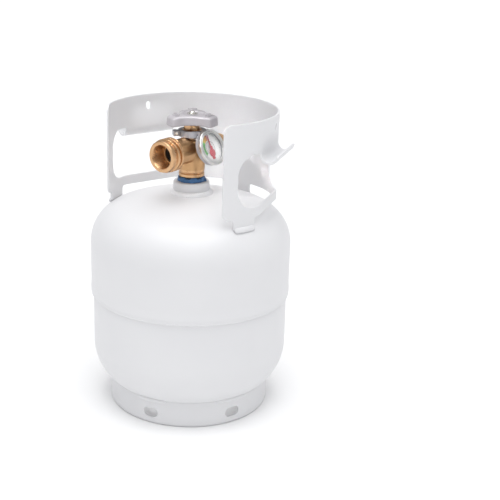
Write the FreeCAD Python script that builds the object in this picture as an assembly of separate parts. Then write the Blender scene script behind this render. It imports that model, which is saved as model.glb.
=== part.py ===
"""A 5 lb steel propane cylinder with an overfill-stop valve and a dial gauge.

Millimetres, +Z up.  The origin is on the cylinder's axis, on the floor that the foot ring
stands on.  The valve outlet points along -Y, the gauge along +X, the relief valve along +Y
and the bleeder screw along -X.  A bearing is an angle about Z, from -Y towards +X.
"""
import FreeCAD, Part
import math
import os
from FreeCAD import Placement, Rotation, Vector

# ---- pressure vessel: two deep-drawn steel halves, one slipped into the other ----
BODY_R = 101.6          # outer radius of the upper half
SHEET = 2.0             # steel of both halves
FIT = 0.1               # clearance between the halves
STRAIGHT = 106.0        # straight wall, between the two heads
SKIRT = 51.5            # straight wall that belongs to the upper half
LAP = 12.0              # how far the lower half goes up inside the upper one
TOP_KNUCKLE = 40.0
TOP_CROWN = 220.0
LOW_KNUCKLE = 52.0
LOW_CROWN = 200.0
GROUND_GAP = 6.0        # floor to the lowest point of the vessel
SEAM_CROWN = 0.9        # how far the girth weld stands proud
SEAM_LEG = 3.4
LAP_SWELL = 0.45        # how far the upper half's edge is spread over the lap
SWELL_EDGE = 3.0        # height of the spread edge
SWELL_TOP = 6.5         # seam to where the wall is plain again

# ---- foot ring ----
FOOT_R = 82.2
FOOT_SHEET = 2.0
FOOT_CURL = 3.2         # outer radius of the curled lower edge
FOOT_FLAT = 0.2         # depth pressed flat on the curl, where it stands
FOOT_HOLES = 6
FOOT_HOLE_W = 16.2
FOOT_HOLE_H = 10.4
FOOT_HOLE_Z = 12.2
FOOT_HOLE_BEARING = 10.5
FOOT_BEAD_SPAN = 24.0   # degrees of each weld bead
BEAD_LEG = 3.6          # leg of the fillet welds

# ---- collar ----
COLLAR_R = 85.8
COLLAR_SHEET = 2.2
COLLAR_RISE = 103.9     # vessel shoulder to the collar's rim
BAND_GAP = 11.4         # vessel shoulder to the collar's lower edge, between its feet
MOUTH_HALF = 58.0       # half of the front opening, degrees
END_CORNER = 8.0
FOOT_TABS = (-74.8, 74.8, 180.0)
TAB_WIDTH = 26.0
HAND_BEARING = 108.5    # centre of each hand hole
HAND_HALF = 54.9        # half of its width, measured square to that bearing
HAND_CORNER = 19.0
HAND_BAND = 9.9         # steel left below it
HAND_RISE = 61.2        # shoulder-edge of the band to the top of the hole's end notches
GRIP_HALF = 30.0        # half of the rolled grip's length
GRIP_ROLL = 9.6         # outer radius of the roll
GRIP_DROP = 32.7        # rim to the centre of the roll
GRIP_WEB = 24.7         # height over which the round wall turns flat above the roll
PIN_HOLE_W = 5.0
PIN_HOLE_H = 8.0
PIN_HOLE_DROP = 12.0    # rim to the centre of the small hole over each grip

# ---- valve boss ----
BOSS_R = 18.2
BOSS_NECK_R = 16.0      # the part that goes through the head
BOSS_RISE = 12.2
BOSS_DEPTH = 10.0
BOSS_FIT = 0.1
PIPE_R = 13.3           # 3/4 in pipe thread at the boss's face
PIPE_TAPER = 1.0 / 32.0
PIPE_FIT = 0.03

# ---- valve, heights above the boss's face ----
SEAL_RING_R = 14.0
SEAL_RING_H = 5.0
BASE_R = 12.2
BASE_H = 12.5
COLUMN_R = 13.2
COLUMN_TOP = 41.0
NECK_R = 10.0
NECK_TOP = 52.1
OUTLET_RISE = 32.5
OUTLET_REACH = 47.6
BARREL_R = 13.0
THREAD_R = 16.67        # 1-5/16 in outside thread, over its crests
THREAD_LENGTH = 12.0
NOSE_R = 15.6
NOSE_LENGTH = 5.0
SOCKET_R = 11.2         # the left-hand inside thread
SOCKET_DEPTH = 18.0
SEAL_POCKET_R = 10.6
SEAL_POCKET = 2.4
CHECK_BORE_R = 8.0
CHECK_BORE_END = 14.0   # valve axis to the bottom of the check bore
PASSAGE_R = 4.0
SEAT_RISE = 23.5        # boss face to the seat
SEAT_ORIFICE_R = 3.2
CAVITY_R = 7.6
SPINDLE_THREAD_R = 7.3
SPINDLE_THREAD_RISE = 37.0
BONNET_THREAD_R = 8.1
BONNET_SHANK = 5.2
SHANK_LENGTH = 20.0
SHANK_BORE_R = 8.0

# ---- stem and wheel ----
CLEAR = 0.05            # running clearance, on radius
BONNET_FLATS = 15.0
BONNET_H = 5.7
STEM_R = 4.0
STEM_FLANGE_R = 6.2
STEM_FLANGE_H = 2.0
STEM_SQUARE = 5.4
TONGUE_W = 2.4
TONGUE_L = 8.0
SPINDLE_TOP = 44.5      # boss face to the top of the lower spindle, closed
SLOT_DEPTH = 5.0
LIFT = 2.4              # lift of the lower spindle over the wheel's travel
WHEEL_GAP = 1.0         # bonnet to wheel
WHEEL_H = 9.5
WHEEL_TOP = 3.5         # thickness of its top
WHEEL_SKIRT = 2.6
WHEEL_LOBE = 25.5       # axis to the flat end of a lobe
WHEEL_LOBE_HALF = 8.2
WHEEL_WAIST = 16.6      # axis to the middle of a hollow side
WHEEL_CORNER = 4.5
WHEEL_EDGE = 1.6
WHEEL_DISH_R = 9.5
WHEEL_DISH = 0.8
WHEEL_BEARING = -22.0
WHEEL_HUB_R = 7.0
SCREW_R = 2.0
SCREW_HEAD_R = 3.4
SCREW_HEAD_H = 2.2
SCREW_LENGTH = 9.0
WASHER_R = 5.3
WASHER_H = 0.8

# ---- gauge ----
GAUGE_RISE = 26.0       # boss face to where the gauge's axis meets the valve's
GAUGE_TILT = 25.0       # degrees that the dial looks up
GAUGE_R = 18.2          # over the bezel
GAUGE_BACK = 20.0       # valve axis to the back of the case, along the gauge's axis
GAUGE_DEPTH = 9.6
GAUGE_FACE = GAUGE_BACK + GAUGE_DEPTH
CASE_R = 17.2
CASE_WALL = 1.3
LENS_H = 1.0
BEZEL_LIP = 1.2
BEZEL_IN_R = 14.2
DIAL_R = 15.6
DIAL_H = 0.6
DIAL_DROP = 4.0         # bezel front to dial
NEEDLE_LENGTH = 12.6
NEEDLE_TAIL = 11.5
NEEDLE_TAIL_HALF = 1.9
NEEDLE_DISC_R = 4.2     # round counterweight
NEEDLE_DISC_X = 5.2     # pivot to its centre
NEEDLE_HUB_R = 2.0
NEEDLE_H = 0.6
ARBOR_R = 0.8
GAUGE_STEM_R = 4.0
TUBE_R = 1.3            # Bourdon tube, half width
TUBE_BEND = 11.5
TUBE_START = 50.0
TUBE_SWEEP = 260.0
CLAMP_R = 13.7
CLAMP_GAP = 0.2         # bonnet to the bracket's ring, and ring to the outlet barrel
CLAMP_H = NECK_TOP - OUTLET_RISE - BARREL_R - 2 * CLAMP_GAP
CLAMP_SLIT = 2.0
CLAMP_BEARING = -40.0
CLAMP_SCREW_R = 1.5

# ---- outlet check, relief valve, bleeder ----
SPRING_GAP = 0.1
RELIEF_STUB_R = 8.6
RELIEF_STUB = 17.0
RELIEF_R = 7.3
RELIEF_END = 47.0
RELIEF_BORE_R = 5.2
RELIEF_SEAT = 21.0
RELIEF_ORIFICE_R = 3.0
RELIEF_FLATS = 16.0
RELIEF_FLANGE = 4.0
BLEED_STUB_R = 5.0
BLEED_STUB = 16.0
BLEED_R = 2.6
BLEED_HEAD_R = 3.6
BLEED_HEAD = 3.0

# ---- overfill stop, depths below the valve shank ----
STOP_R = 11.0
STOP_LENGTH = 36.0
STOP_SPIGOT = 8.0
STOP_BORE_R = 7.0
STOP_FLOOR = 4.0
STOP_CHAMBER = 19.0
STOP_PORT_R = 3.5
PISTON_H = 5.6
PISTON_SEAL_H = 2.0
PISTON_STEM_R = 1.8
PISTON_TRAVEL = 4.0
PIVOT_X = 8.0
PIVOT_DROP = 5.0        # below the stop's body
PIVOT_R = 1.5
ARM_HALF = 5.0
EAR_T = 2.5
ARM_HUB_R = 3.6
ARM_LENGTH = 15.0
FLOAT_R = 8.0
FLOAT_LENGTH = 40.0
DIP_R = 1.6
DIP_WALL = 0.6
DIP_X = -10.3
DIP_LENGTH = 39.0

UP = Vector(0, 0, 1)
FRONT = Vector(0, -1, 0)
RIGHT = Vector(1, 0, 0)
BACK = Vector(0, 1, 0)
LEFT = Vector(-1, 0, 0)
GAUGE_AXIS = Vector(math.cos(math.radians(GAUGE_TILT)), 0, math.sin(math.radians(GAUGE_TILT)))


# ---- geometry of a torispherical head ----
def head_rise(radius, knuckle, crown, r):
    """Height of the head's outer surface over its tangent line, at radius r."""
    centre = radius - knuckle
    reach = crown - knuckle
    if r <= centre * crown / reach:
        return math.sqrt(crown ** 2 - r ** 2) - math.sqrt(reach ** 2 - centre ** 2)
    return math.sqrt(max(0.0, knuckle ** 2 - (r - centre) ** 2))


def top_z(r):
    """Height of the vessel's upper surface at radius r."""
    return SHOULDER_Z + head_rise(BODY_R, TOP_KNUCKLE, TOP_CROWN, r)


def low_z(r):
    """Height of the vessel's lower surface at radius r."""
    return HEEL_Z - head_rise(LOW_R, LOW_KNUCKLE, LOW_CROWN, r)


# ---- places worked out from the sizes ----
LOW_R = BODY_R - SHEET - FIT
HEEL_Z = GROUND_GAP + head_rise(LOW_R, LOW_KNUCKLE, LOW_CROWN, 0)
SHOULDER_Z = HEEL_Z + STRAIGHT
SEAM_Z = SHOULDER_Z - SKIRT
FOOT_TOP = low_z(FOOT_R - FOOT_SHEET) - 0.05
TAB_Z = top_z(COLLAR_R - COLLAR_SHEET) + 0.05
BAND_Z = top_z(COLLAR_R) + BAND_GAP
RIM_Z = top_z(COLLAR_R) + COLLAR_RISE
HAND_Z = BAND_Z + HAND_BAND
HAND_TOP = BAND_Z + HAND_RISE
GRIP_Z = RIM_Z - GRIP_DROP
BOSS_Z = top_z(BOSS_NECK_R) + 0.05
FACE_Z = BOSS_Z + BOSS_RISE
OUTLET_Z = FACE_Z + OUTLET_RISE
SEAT_Z = FACE_Z + SEAT_RISE
NECK_Z = FACE_Z + NECK_TOP
WHEEL_Z = NECK_Z + BONNET_H + WHEEL_GAP
GAUGE_Z = FACE_Z + GAUGE_RISE
CASE_BACK = GAUGE_BACK
SHANK_Z = FACE_Z - SHANK_LENGTH
STOP_Z = SHANK_Z - STOP_LENGTH
PIVOT_Z = STOP_Z - PIVOT_DROP


# ---- small helpers ----
def polar(bearing, r, z=0.0):
    """The point at a bearing, a radius and a height."""
    a = math.radians(bearing)
    return Vector(r * math.sin(a), -r * math.cos(a), z)


def rod(r, z0, z1, at=Vector()):
    """A solid cylinder from z0 to z1."""
    return Part.makeCylinder(r, z1 - z0, at + Vector(0, 0, z0))


def tube(r_in, r_out, z0, z1):
    """A hollow cylinder from z0 to z1."""
    return rod(r_out, z0, z1).cut(rod(r_in, z0 - 1, z1 + 1))


def cone(r0, r1, z0, z1):
    """A solid cone frustum from z0 to z1."""
    return Part.makeCone(r0, r1, z1 - z0, Vector(0, 0, z0))


def box(x0, x1, y0, y1, z0, z1):
    """A box between two corners."""
    return Part.makeBox(x1 - x0, y1 - y0, z1 - z0, Vector(x0, y0, z0))


def aimed(shape, direction, z, x=0.0):
    """A shape that was built along +Z, laid along a direction at height z."""
    out = shape.copy()
    out.Placement = Placement(Vector(x, 0, z), Rotation(UP, direction)).multiply(shape.Placement)
    return out


def hexagon(flats, z0, z1):
    """A hexagonal bar, from its size across flats."""
    r = flats / math.sqrt(3)
    points = [Vector(r * math.cos(k * math.pi / 3), r * math.sin(k * math.pi / 3), z0)
              for k in range(7)]
    return Part.Face(Part.makePolygon(points)).extrude(Vector(0, 0, z1 - z0))


def polyface(points):
    """A face in the XZ plane from (r, z) points."""
    corners = [Vector(r, 0, z) for r, z in points]
    return Part.Face(Part.makePolygon(corners + corners[:1]))


def spun(points, bearing=None, span=360.0):
    """A polygon in (r, z), turned about Z: all the way, or over a span centred on a bearing."""
    face = polyface(points)
    if bearing is None:
        return face.revolve(Vector(), UP, 360)
    solid = face.revolve(Vector(), UP, span)
    solid.rotate(Vector(), UP, bearing - 90 - span / 2)
    return solid


def sector(r, z0, z1, bearing, span):
    """A wedge of a cylinder, centred on a bearing."""
    wedge = Part.makeCylinder(r, z1 - z0, Vector(0, 0, z0), UP, span)
    wedge.rotate(Vector(), UP, bearing - 90 - span / 2)
    return wedge


def rounded_prism(width, z0, z1, corner, reach, bearing, start=0.0):
    """A rounded rectangle in the plane square to a bearing, pushed outwards along it."""
    half = width / 2
    block = box(-half, half, -reach, -start, z0, z1)
    edges = [e for e in block.Edges if abs(e.Vertexes[0].Y - e.Vertexes[-1].Y) > 1]
    block = block.makeFillet(corner, edges)
    block.rotate(Vector(), UP, bearing)
    return block


def wire_coil(radius, wire, length, turns, z0):
    """A compression spring: a round wire swept along a helix."""
    helix = Part.makeHelix(length / turns, length, radius)
    start = helix.Edges[0].valueAt(helix.Edges[0].FirstParameter)
    tangent = helix.Edges[0].tangentAt(helix.Edges[0].FirstParameter)
    ring = Part.Wire(Part.makeCircle(wire / 2, start, tangent))
    coil = Part.Wire(helix.Edges).makePipeShell([ring], True, True)
    coil.translate(Vector(0, 0, z0))
    return coil


def arc_rz(centre, radius, a0, a1):
    """An arc in the XZ plane between two angles, in degrees from +X."""
    def at(a):
        a = math.radians(a)
        return Vector(centre[0] + radius * math.cos(a), 0, centre[1] + radius * math.sin(a))
    return Part.Arc(at(a0), at((a0 + a1) / 2), at(a1)).toShape()


def line_rz(p, q):
    """A straight edge in the XZ plane."""
    return Part.LineSegment(Vector(p[0], 0, p[1]), Vector(q[0], 0, q[1])).toShape()


def head_shell(radius, knuckle, crown, tangent_z, edge_z, hole_r, up):
    """A drawn half of the vessel, with a round hole at its pole or a closed one."""
    sign = 1 if up else -1
    centre = radius - knuckle
    fall = math.sqrt((crown - knuckle) ** 2 - centre ** 2)
    lean = math.degrees(math.atan2(fall, centre))

    def skin(offset):
        r = radius - offset
        cylinder = line_rz((r, edge_z), (r, tangent_z))
        bend = arc_rz((centre, tangent_z), knuckle - offset, 0, sign * lean)
        reach = crown - offset
        stop = math.degrees(math.acos(hole_r / reach))
        cap = arc_rz((0, tangent_z - sign * fall), reach, sign * lean, sign * stop)
        pole = (hole_r, tangent_z + sign * (math.sqrt(reach ** 2 - hole_r ** 2) - fall))
        return [cylinder, bend, cap], pole

    outer, pole_out = skin(0)
    inner, pole_in = skin(SHEET)
    edges = outer + [line_rz(pole_out, pole_in)] + inner[::-1]
    edges.append(line_rz((radius - SHEET, edge_z), (radius, edge_z)))
    face = Part.Face(Part.Wire(Part.__sortEdges__(edges)))
    return face.revolve(Vector(), UP, 360)


# ---- vessel ----
def upper_shell():
    """Upper half: skirt with its edge spread over the lap, and head with the boss's hole."""
    shell = head_shell(BODY_R, TOP_KNUCKLE, TOP_CROWN, SHOULDER_Z, SEAM_Z,
                       BOSS_NECK_R + BOSS_FIT, True)
    spread = BODY_R + LAP_SWELL
    points = [(BODY_R - SHEET / 2, SEAM_Z), (spread, SEAM_Z), (spread, SEAM_Z + SWELL_EDGE),
              (BODY_R, SEAM_Z + SWELL_TOP), (BODY_R - SHEET / 2, SEAM_Z + SWELL_TOP)]
    return shell.fuse(spun(points)).removeSplitter()


def lower_shell():
    """Lower half: it goes up inside the upper one by the lap."""
    return head_shell(LOW_R, LOW_KNUCKLE, LOW_CROWN, HEEL_Z, SEAM_Z + LAP, 0.0, False)


def girth_weld():
    """Bead that joins the upper half's edge to the lower half's wall."""
    low = Vector(LOW_R, 0, SEAM_Z - SEAM_LEG)
    edge = BODY_R + LAP_SWELL
    high = Vector(edge, 0, SEAM_Z + SEAM_LEG / 2)
    crest = Vector(BODY_R + SEAM_CROWN, 0, SEAM_Z - SEAM_LEG / 8)
    edges = [
        Part.Arc(high, crest, low).toShape(),
        line_rz((LOW_R, SEAM_Z - SEAM_LEG), (LOW_R, SEAM_Z)),
        line_rz((LOW_R, SEAM_Z), (edge, SEAM_Z)),
        line_rz((edge, SEAM_Z), (edge, SEAM_Z + SEAM_LEG / 2)),
    ]
    face = Part.Face(Part.Wire(Part.__sortEdges__(edges)))
    return face.revolve(Vector(), UP, 360)


# ---- foot ring ----
def foot_ring():
    """Rolled band with a curled lower edge and oval vent holes."""
    middle = FOOT_R - FOOT_CURL
    inner = FOOT_CURL - FOOT_SHEET
    lip = middle - FOOT_CURL
    bend = FOOT_CURL - FOOT_FLAT
    end = bend + FOOT_SHEET
    edges = [
        line_rz((FOOT_R, FOOT_TOP), (FOOT_R, bend)),
        arc_rz((middle, bend), FOOT_CURL, 0, -180),
        line_rz((lip, bend), (lip, end)),
        line_rz((lip, end), (lip + FOOT_SHEET, end)),
        line_rz((lip + FOOT_SHEET, end), (lip + FOOT_SHEET, bend)),
        arc_rz((middle, bend), inner, -180, 0),
        line_rz((FOOT_R - FOOT_SHEET, bend), (FOOT_R - FOOT_SHEET, FOOT_TOP)),
        line_rz((FOOT_R - FOOT_SHEET, FOOT_TOP), (FOOT_R, FOOT_TOP)),
    ]
    ring = Part.Face(Part.Wire(Part.__sortEdges__(edges))).revolve(Vector(), UP, 360)
    ring = ring.cut(rod(FOOT_R + 5, -5, 0))
    z0 = FOOT_HOLE_Z - FOOT_HOLE_H / 2
    corner = FOOT_HOLE_H / 2 - 0.01
    for bearing in foot_hole_bearings():
        ring = ring.cut(rounded_prism(FOOT_HOLE_W, z0, z0 + FOOT_HOLE_H, corner,
                                      FOOT_R + 5, bearing, FOOT_R - 2 * FOOT_CURL - 2))
    return ring


def foot_hole_bearings():
    """Bearings of the foot ring's holes, and of the weld beads above them."""
    return [FOOT_HOLE_BEARING + k * 360 / FOOT_HOLES for k in range(FOOT_HOLES)]


def foot_welds():
    """Short beads between the foot ring's top edge and the vessel."""
    r_in = FOOT_R - FOOT_SHEET
    r_out = FOOT_R + BEAD_LEG
    points = [(r_in, FOOT_TOP), (FOOT_R, FOOT_TOP), (FOOT_R + 0.4, FOOT_TOP - 0.6),
              (r_out, low_z(r_out) + 0.4), (r_in, low_z(r_in) + 0.4)]
    vessel = lower_shell()
    beads = [spun(points, b, FOOT_BEAD_SPAN).cut(vessel) for b in foot_hole_bearings()]
    return Part.makeCompound(beads)


# ---- collar ----
def collar_corner(bearing, z, side, upward):
    """Cutter that rounds one corner of the collar's front ends."""
    reach = END_CORNER
    block = box(0, reach, -COLLAR_R - 5, -COLLAR_R + 10, z - reach, z)
    disc = Part.makeCylinder(reach, 30, Vector(reach, -COLLAR_R + 15, z - reach), FRONT)
    if not upward:
        block.translate(Vector(0, 0, reach))
        disc.translate(Vector(0, 0, 2 * reach))
    cutter = block.cut(disc)
    if side < 0:
        cutter = cutter.mirror(Vector(), RIGHT)
    cutter.rotate(Vector(), UP, bearing)
    return cutter


def hand_hole(bearing):
    """Cutter for one hand hole, with the notches that end the rolled grip."""
    return rounded_prism(2 * HAND_HALF, HAND_Z, HAND_TOP, HAND_CORNER,
                         COLLAR_R + 20, bearing, COLLAR_R / 2)


def grip(bearing):
    """Rolled grip over a hand hole: a flat web under the round wall, and a half-round roll."""
    out = math.sqrt(COLLAR_R ** 2 - GRIP_HALF ** 2)
    inn = math.sqrt((COLLAR_R - COLLAR_SHEET) ** 2 - GRIP_HALF ** 2)
    top = GRIP_Z + GRIP_WEB

    def arc(radius, distance, back=False):
        ends = [Vector(-GRIP_HALF, -distance, top), Vector(GRIP_HALF, -distance, top)]
        middle = Vector(0, -radius, top)
        if back:
            ends.reverse()
        return Part.Arc(ends[0], middle, ends[1]).toShape()

    def side(x, y0, y1, z):
        return Part.LineSegment(Vector(x, -y0, z), Vector(x, -y1, z)).toShape()

    def straight(x0, x1, y, z):
        return Part.LineSegment(Vector(x0, -y, z), Vector(x1, -y, z)).toShape()

    upper = Part.Wire([arc(COLLAR_R, out), side(GRIP_HALF, out, inn, top),
                       arc(COLLAR_R - COLLAR_SHEET, inn, True),
                       side(-GRIP_HALF, inn, out, top)])
    lower = Part.Wire([straight(-GRIP_HALF, GRIP_HALF, out, GRIP_Z),
                       side(GRIP_HALF, out, inn, GRIP_Z),
                       straight(GRIP_HALF, -GRIP_HALF, inn, GRIP_Z),
                       side(-GRIP_HALF, inn, out, GRIP_Z)])
    web = Part.makeLoft([lower, upper], True, True)
    roll = Part.makeCylinder(GRIP_ROLL, 2 * GRIP_HALF, Vector(), RIGHT)
    roll = roll.cut(Part.makeCylinder(GRIP_ROLL - (out - inn), 2 * GRIP_HALF, Vector(), RIGHT))
    roll = roll.common(box(0, 2 * GRIP_HALF, -GRIP_ROLL, GRIP_ROLL, -GRIP_ROLL, 0))
    roll.translate(Vector(-GRIP_HALF, -inn - GRIP_ROLL, GRIP_Z))
    solid = web.fuse(roll)
    solid.rotate(Vector(), UP, bearing)
    return solid


def collar():
    """Guard round the valve: a C-shaped sheet with three feet and two gripped hand holes."""
    r_in = COLLAR_R - COLLAR_SHEET
    wall = tube(r_in, COLLAR_R, BAND_Z, RIM_Z)
    wall = wall.cut(sector(COLLAR_R + 5, BAND_Z - 1, RIM_Z + 1, 0, 2 * MOUTH_HALF))
    for side in (-1, 1):
        wall = wall.cut(collar_corner(side * MOUTH_HALF, RIM_Z, side, True))
        wall = wall.cut(collar_corner(side * MOUTH_HALF, BAND_Z, side, False))
    span = math.degrees(TAB_WIDTH / COLLAR_R)
    for bearing in FOOT_TABS:
        tab = sector(COLLAR_R, TAB_Z, BAND_Z + 1, bearing, span)
        wall = wall.fuse(tab.cut(rod(r_in, TAB_Z - 1, BAND_Z + 2)))
    for side in (-1, 1):
        bearing = side * HAND_BEARING
        wall = wall.cut(hand_hole(bearing))
        window = box(-GRIP_HALF, GRIP_HALF, -COLLAR_R - 5, -COLLAR_R / 2,
                     HAND_TOP - HAND_CORNER, GRIP_Z + GRIP_WEB)
        window.rotate(Vector(), UP, bearing)
        wall = wall.cut(window).fuse(grip(bearing))
        z0 = RIM_Z - PIN_HOLE_DROP - PIN_HOLE_H / 2
        wall = wall.cut(rounded_prism(PIN_HOLE_W, z0, z0 + PIN_HOLE_H, PIN_HOLE_W / 2 - 0.01,
                                      COLLAR_R + 5, bearing, COLLAR_R / 2))
    return wall.removeSplitter()


def collar_welds():
    """Fillet bead at the foot of each collar tab."""
    span = math.degrees((TAB_WIDTH - 4) / COLLAR_R)
    r_out = COLLAR_R + BEAD_LEG
    r_in = COLLAR_R - COLLAR_SHEET
    points = [(r_in, TAB_Z), (r_in, top_z(r_in) - 0.4), (r_out, top_z(r_out) - 0.4),
              (r_out, top_z(r_out)), (COLLAR_R, TAB_Z + BEAD_LEG - 0.6), (COLLAR_R, TAB_Z)]
    vessel = upper_shell()
    beads = [spun(points, b, span).cut(vessel) for b in FOOT_TABS]
    return Part.makeCompound(beads)


# ---- boss ----
def pipe_cone(z0, z1, fit):
    """The tapered pipe thread's pitch cone, referred to the boss's face."""
    r0 = PIPE_R - fit - (FACE_Z - z0) * PIPE_TAPER
    r1 = PIPE_R - fit - (FACE_Z - z1) * PIPE_TAPER
    return cone(r0, r1, z0, z1)


def valve_boss():
    """Steel half-coupling that is welded into the upper half."""
    body = rod(BOSS_R, BOSS_Z, FACE_Z).fuse(rod(BOSS_NECK_R, BOSS_Z - BOSS_DEPTH, BOSS_Z))
    edges = [e for e in body.Edges if abs(e.CenterOfMass.z - FACE_Z) < 1e-6]
    body = body.makeFillet(1.2, edges)
    return body.cut(pipe_cone(BOSS_Z - BOSS_DEPTH - 1, FACE_Z + 1, 0.0)).removeSplitter()


def boss_weld():
    """Fillet bead round the boss."""
    r_out = BOSS_R + BEAD_LEG
    points = [(BOSS_R, BOSS_Z + BEAD_LEG), (r_out, top_z(r_out)), (r_out, top_z(r_out) - 0.4),
              (BOSS_NECK_R + BOSS_FIT, top_z(BOSS_R) - 0.4), (BOSS_NECK_R + BOSS_FIT, BOSS_Z),
              (BOSS_R, BOSS_Z)]
    return spun(points).cut(upper_shell())


# ---- valve body ----
def valve_body():
    """Forged brass body: shank, column, neck, outlet barrel and the stubs of its side ports."""
    body = pipe_cone(SHANK_Z, FACE_Z, PIPE_FIT)
    body = body.fuse(rod(BASE_R, FACE_Z, FACE_Z + BASE_H))
    body = body.cut(tube(BASE_R - 0.9, BASE_R + 1, FACE_Z + BASE_H - 3.6, FACE_Z + BASE_H - 2.4))
    body = body.fuse(rod(COLUMN_R, FACE_Z + BASE_H, FACE_Z + COLUMN_TOP))
    body = body.fuse(cone(COLUMN_R, NECK_R, FACE_Z + COLUMN_TOP, FACE_Z + COLUMN_TOP + 2))
    body = body.fuse(rod(NECK_R, FACE_Z + COLUMN_TOP, NECK_Z))
    nose = OUTLET_REACH - NOSE_LENGTH
    outlet = rod(BARREL_R, 0, nose - THREAD_LENGTH)
    outlet = outlet.fuse(rod(THREAD_R, nose - THREAD_LENGTH, nose))
    outlet = outlet.fuse(rod(NOSE_R, nose, OUTLET_REACH - 1))
    outlet = outlet.fuse(cone(NOSE_R, NOSE_R - 1, OUTLET_REACH - 1, OUTLET_REACH))
    body = body.fuse(aimed(outlet, FRONT, OUTLET_Z))
    body = body.fuse(aimed(rod(RELIEF_STUB_R, 0, RELIEF_STUB), BACK, OUTLET_Z))
    body = body.fuse(aimed(rod(BLEED_STUB_R, 0, BLEED_STUB), LEFT, OUTLET_Z))
    body = body.cut(valve_bores())
    return body.removeSplitter()


def valve_bores():
    """Everything that is bored out of the valve body."""
    top = FACE_Z + SPINDLE_THREAD_RISE
    bore = rod(SHANK_BORE_R, SHANK_Z - 1, SHANK_Z + STOP_SPIGOT)
    bore = bore.fuse(rod(SEAT_ORIFICE_R, SHANK_Z, SEAT_Z + 1))
    bore = bore.fuse(rod(CAVITY_R, SEAT_Z, top))
    bore = bore.fuse(rod(SPINDLE_THREAD_R, top - 1, NECK_Z))
    bore = bore.fuse(rod(BONNET_THREAD_R, NECK_Z - BONNET_SHANK, NECK_Z + 1))
    socket = OUTLET_REACH - SOCKET_DEPTH
    outlet = rod(SOCKET_R, socket, OUTLET_REACH + 1)
    outlet = outlet.fuse(rod(SEAL_POCKET_R, socket - SEAL_POCKET, OUTLET_REACH))
    outlet = outlet.fuse(rod(CHECK_BORE_R, CHECK_BORE_END, OUTLET_REACH))
    outlet = outlet.fuse(rod(PASSAGE_R, 0, OUTLET_REACH))
    bore = bore.fuse(aimed(outlet, FRONT, OUTLET_Z))
    relief = rod(RELIEF_ORIFICE_R, 0, RELIEF_STUB + 1)
    relief = relief.fuse(rod(RELIEF_BORE_R, RELIEF_STUB - 5, RELIEF_STUB + 1))
    bore = bore.fuse(aimed(relief, BACK, OUTLET_Z))
    bore = bore.fuse(aimed(rod(GAUGE_STEM_R, CAVITY_R - 2, GAUGE_BACK), GAUGE_AXIS, GAUGE_Z))
    bleed = rod(BLEED_R, CAVITY_R + 2, BLEED_STUB + 1)
    bore = bore.fuse(aimed(bleed, LEFT, OUTLET_Z))
    tube_hole = rod(DIP_R, SHANK_Z - 1, SHANK_Z + STOP_SPIGOT, Vector(DIP_X, 0, 0))
    return bore.fuse(tube_hole)


def thread_seal_ring():
    """Blue sealing ring between the boss and the valve's base."""
    return tube(BASE_R + CLEAR, SEAL_RING_R, FACE_Z + 0.02, FACE_Z + SEAL_RING_H)


# ---- stem ----
def bonnet_nut():
    """Brass gland nut: hexagon above the neck, threaded shank in it, bore for the stem."""
    nut = hexagon(BONNET_FLATS, NECK_Z, NECK_Z + BONNET_H)
    shank = BONNET_SHANK - 0.1
    nut = nut.fuse(rod(BONNET_THREAD_R - CLEAR, NECK_Z - shank, NECK_Z))
    nut = nut.cut(rod(STEM_R + CLEAR, NECK_Z - shank - 1, NECK_Z + BONNET_H + 1))
    well = rod(STEM_FLANGE_R + CLEAR, NECK_Z - shank - 1, NECK_Z - shank + 2.6)
    return nut.cut(well).removeSplitter()


def seal_grooves():
    """Heights of the two grooves in the stem."""
    return [NECK_Z + 0.6, NECK_Z + 3.2]


def stem():
    """Upper spindle: square under the wheel, flange under the bonnet, tongue below."""
    flange_z = NECK_Z - BONNET_SHANK + 0.5
    body = rod(STEM_R, flange_z, WHEEL_Z)
    body = body.fuse(rod(STEM_FLANGE_R, flange_z, flange_z + STEM_FLANGE_H))
    half = STEM_SQUARE / 2
    body = body.fuse(box(-half, half, -half, half, WHEEL_Z - 0.5, WHEEL_Z + WHEEL_H - WHEEL_TOP))
    tongue_end = FACE_Z + SPINDLE_TOP - SLOT_DEPTH + LIFT + 0.4
    body = body.fuse(box(-TONGUE_L / 2, TONGUE_L / 2, -TONGUE_W / 2, TONGUE_W / 2,
                         tongue_end, flange_z + 0.5))
    for z in seal_grooves():
        body = body.cut(tube(STEM_R - 1, STEM_R + 1, z, z + 1.8))
    screw_z = WHEEL_Z + WHEEL_H - WHEEL_DISH + WASHER_H
    body = body.cut(rod(SCREW_R + CLEAR, screw_z - SCREW_LENGTH - 0.5, WHEEL_Z + WHEEL_H))
    return body.removeSplitter()


def stem_seals():
    """Two O-rings in the stem's grooves."""
    rings = [tube(STEM_R - 0.98, STEM_R + CLEAR / 2, z + 0.05, z + 1.75) for z in seal_grooves()]
    return Part.makeCompound(rings)


def lower_spindle():
    """Threaded spindle that the tongue turns: it screws up off the seat."""
    top = FACE_Z + SPINDLE_TOP
    thread_z = FACE_Z + SPINDLE_THREAD_RISE + 0.3
    body = rod(SPINDLE_THREAD_R - CLEAR, thread_z, top)
    body = body.fuse(rod(4.5, SEAT_Z + 5.0, thread_z))
    body = body.fuse(rod(6.2, SEAT_Z + 1.4, SEAT_Z + 5.5))
    slot_w = TONGUE_W / 2 + 0.12
    slot_l = TONGUE_L / 2 + 0.2
    body = body.cut(box(-slot_l, slot_l, -slot_w, slot_w, top - SLOT_DEPTH, top + 1))
    return body.cut(rod(5.0, SEAT_Z, SEAT_Z + 2.6)).removeSplitter()


def seat_disc():
    """Nylon disc that closes on the seat."""
    return rod(5.0 - 0.01, SEAT_Z + 0.02, SEAT_Z + 2.6)


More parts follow.
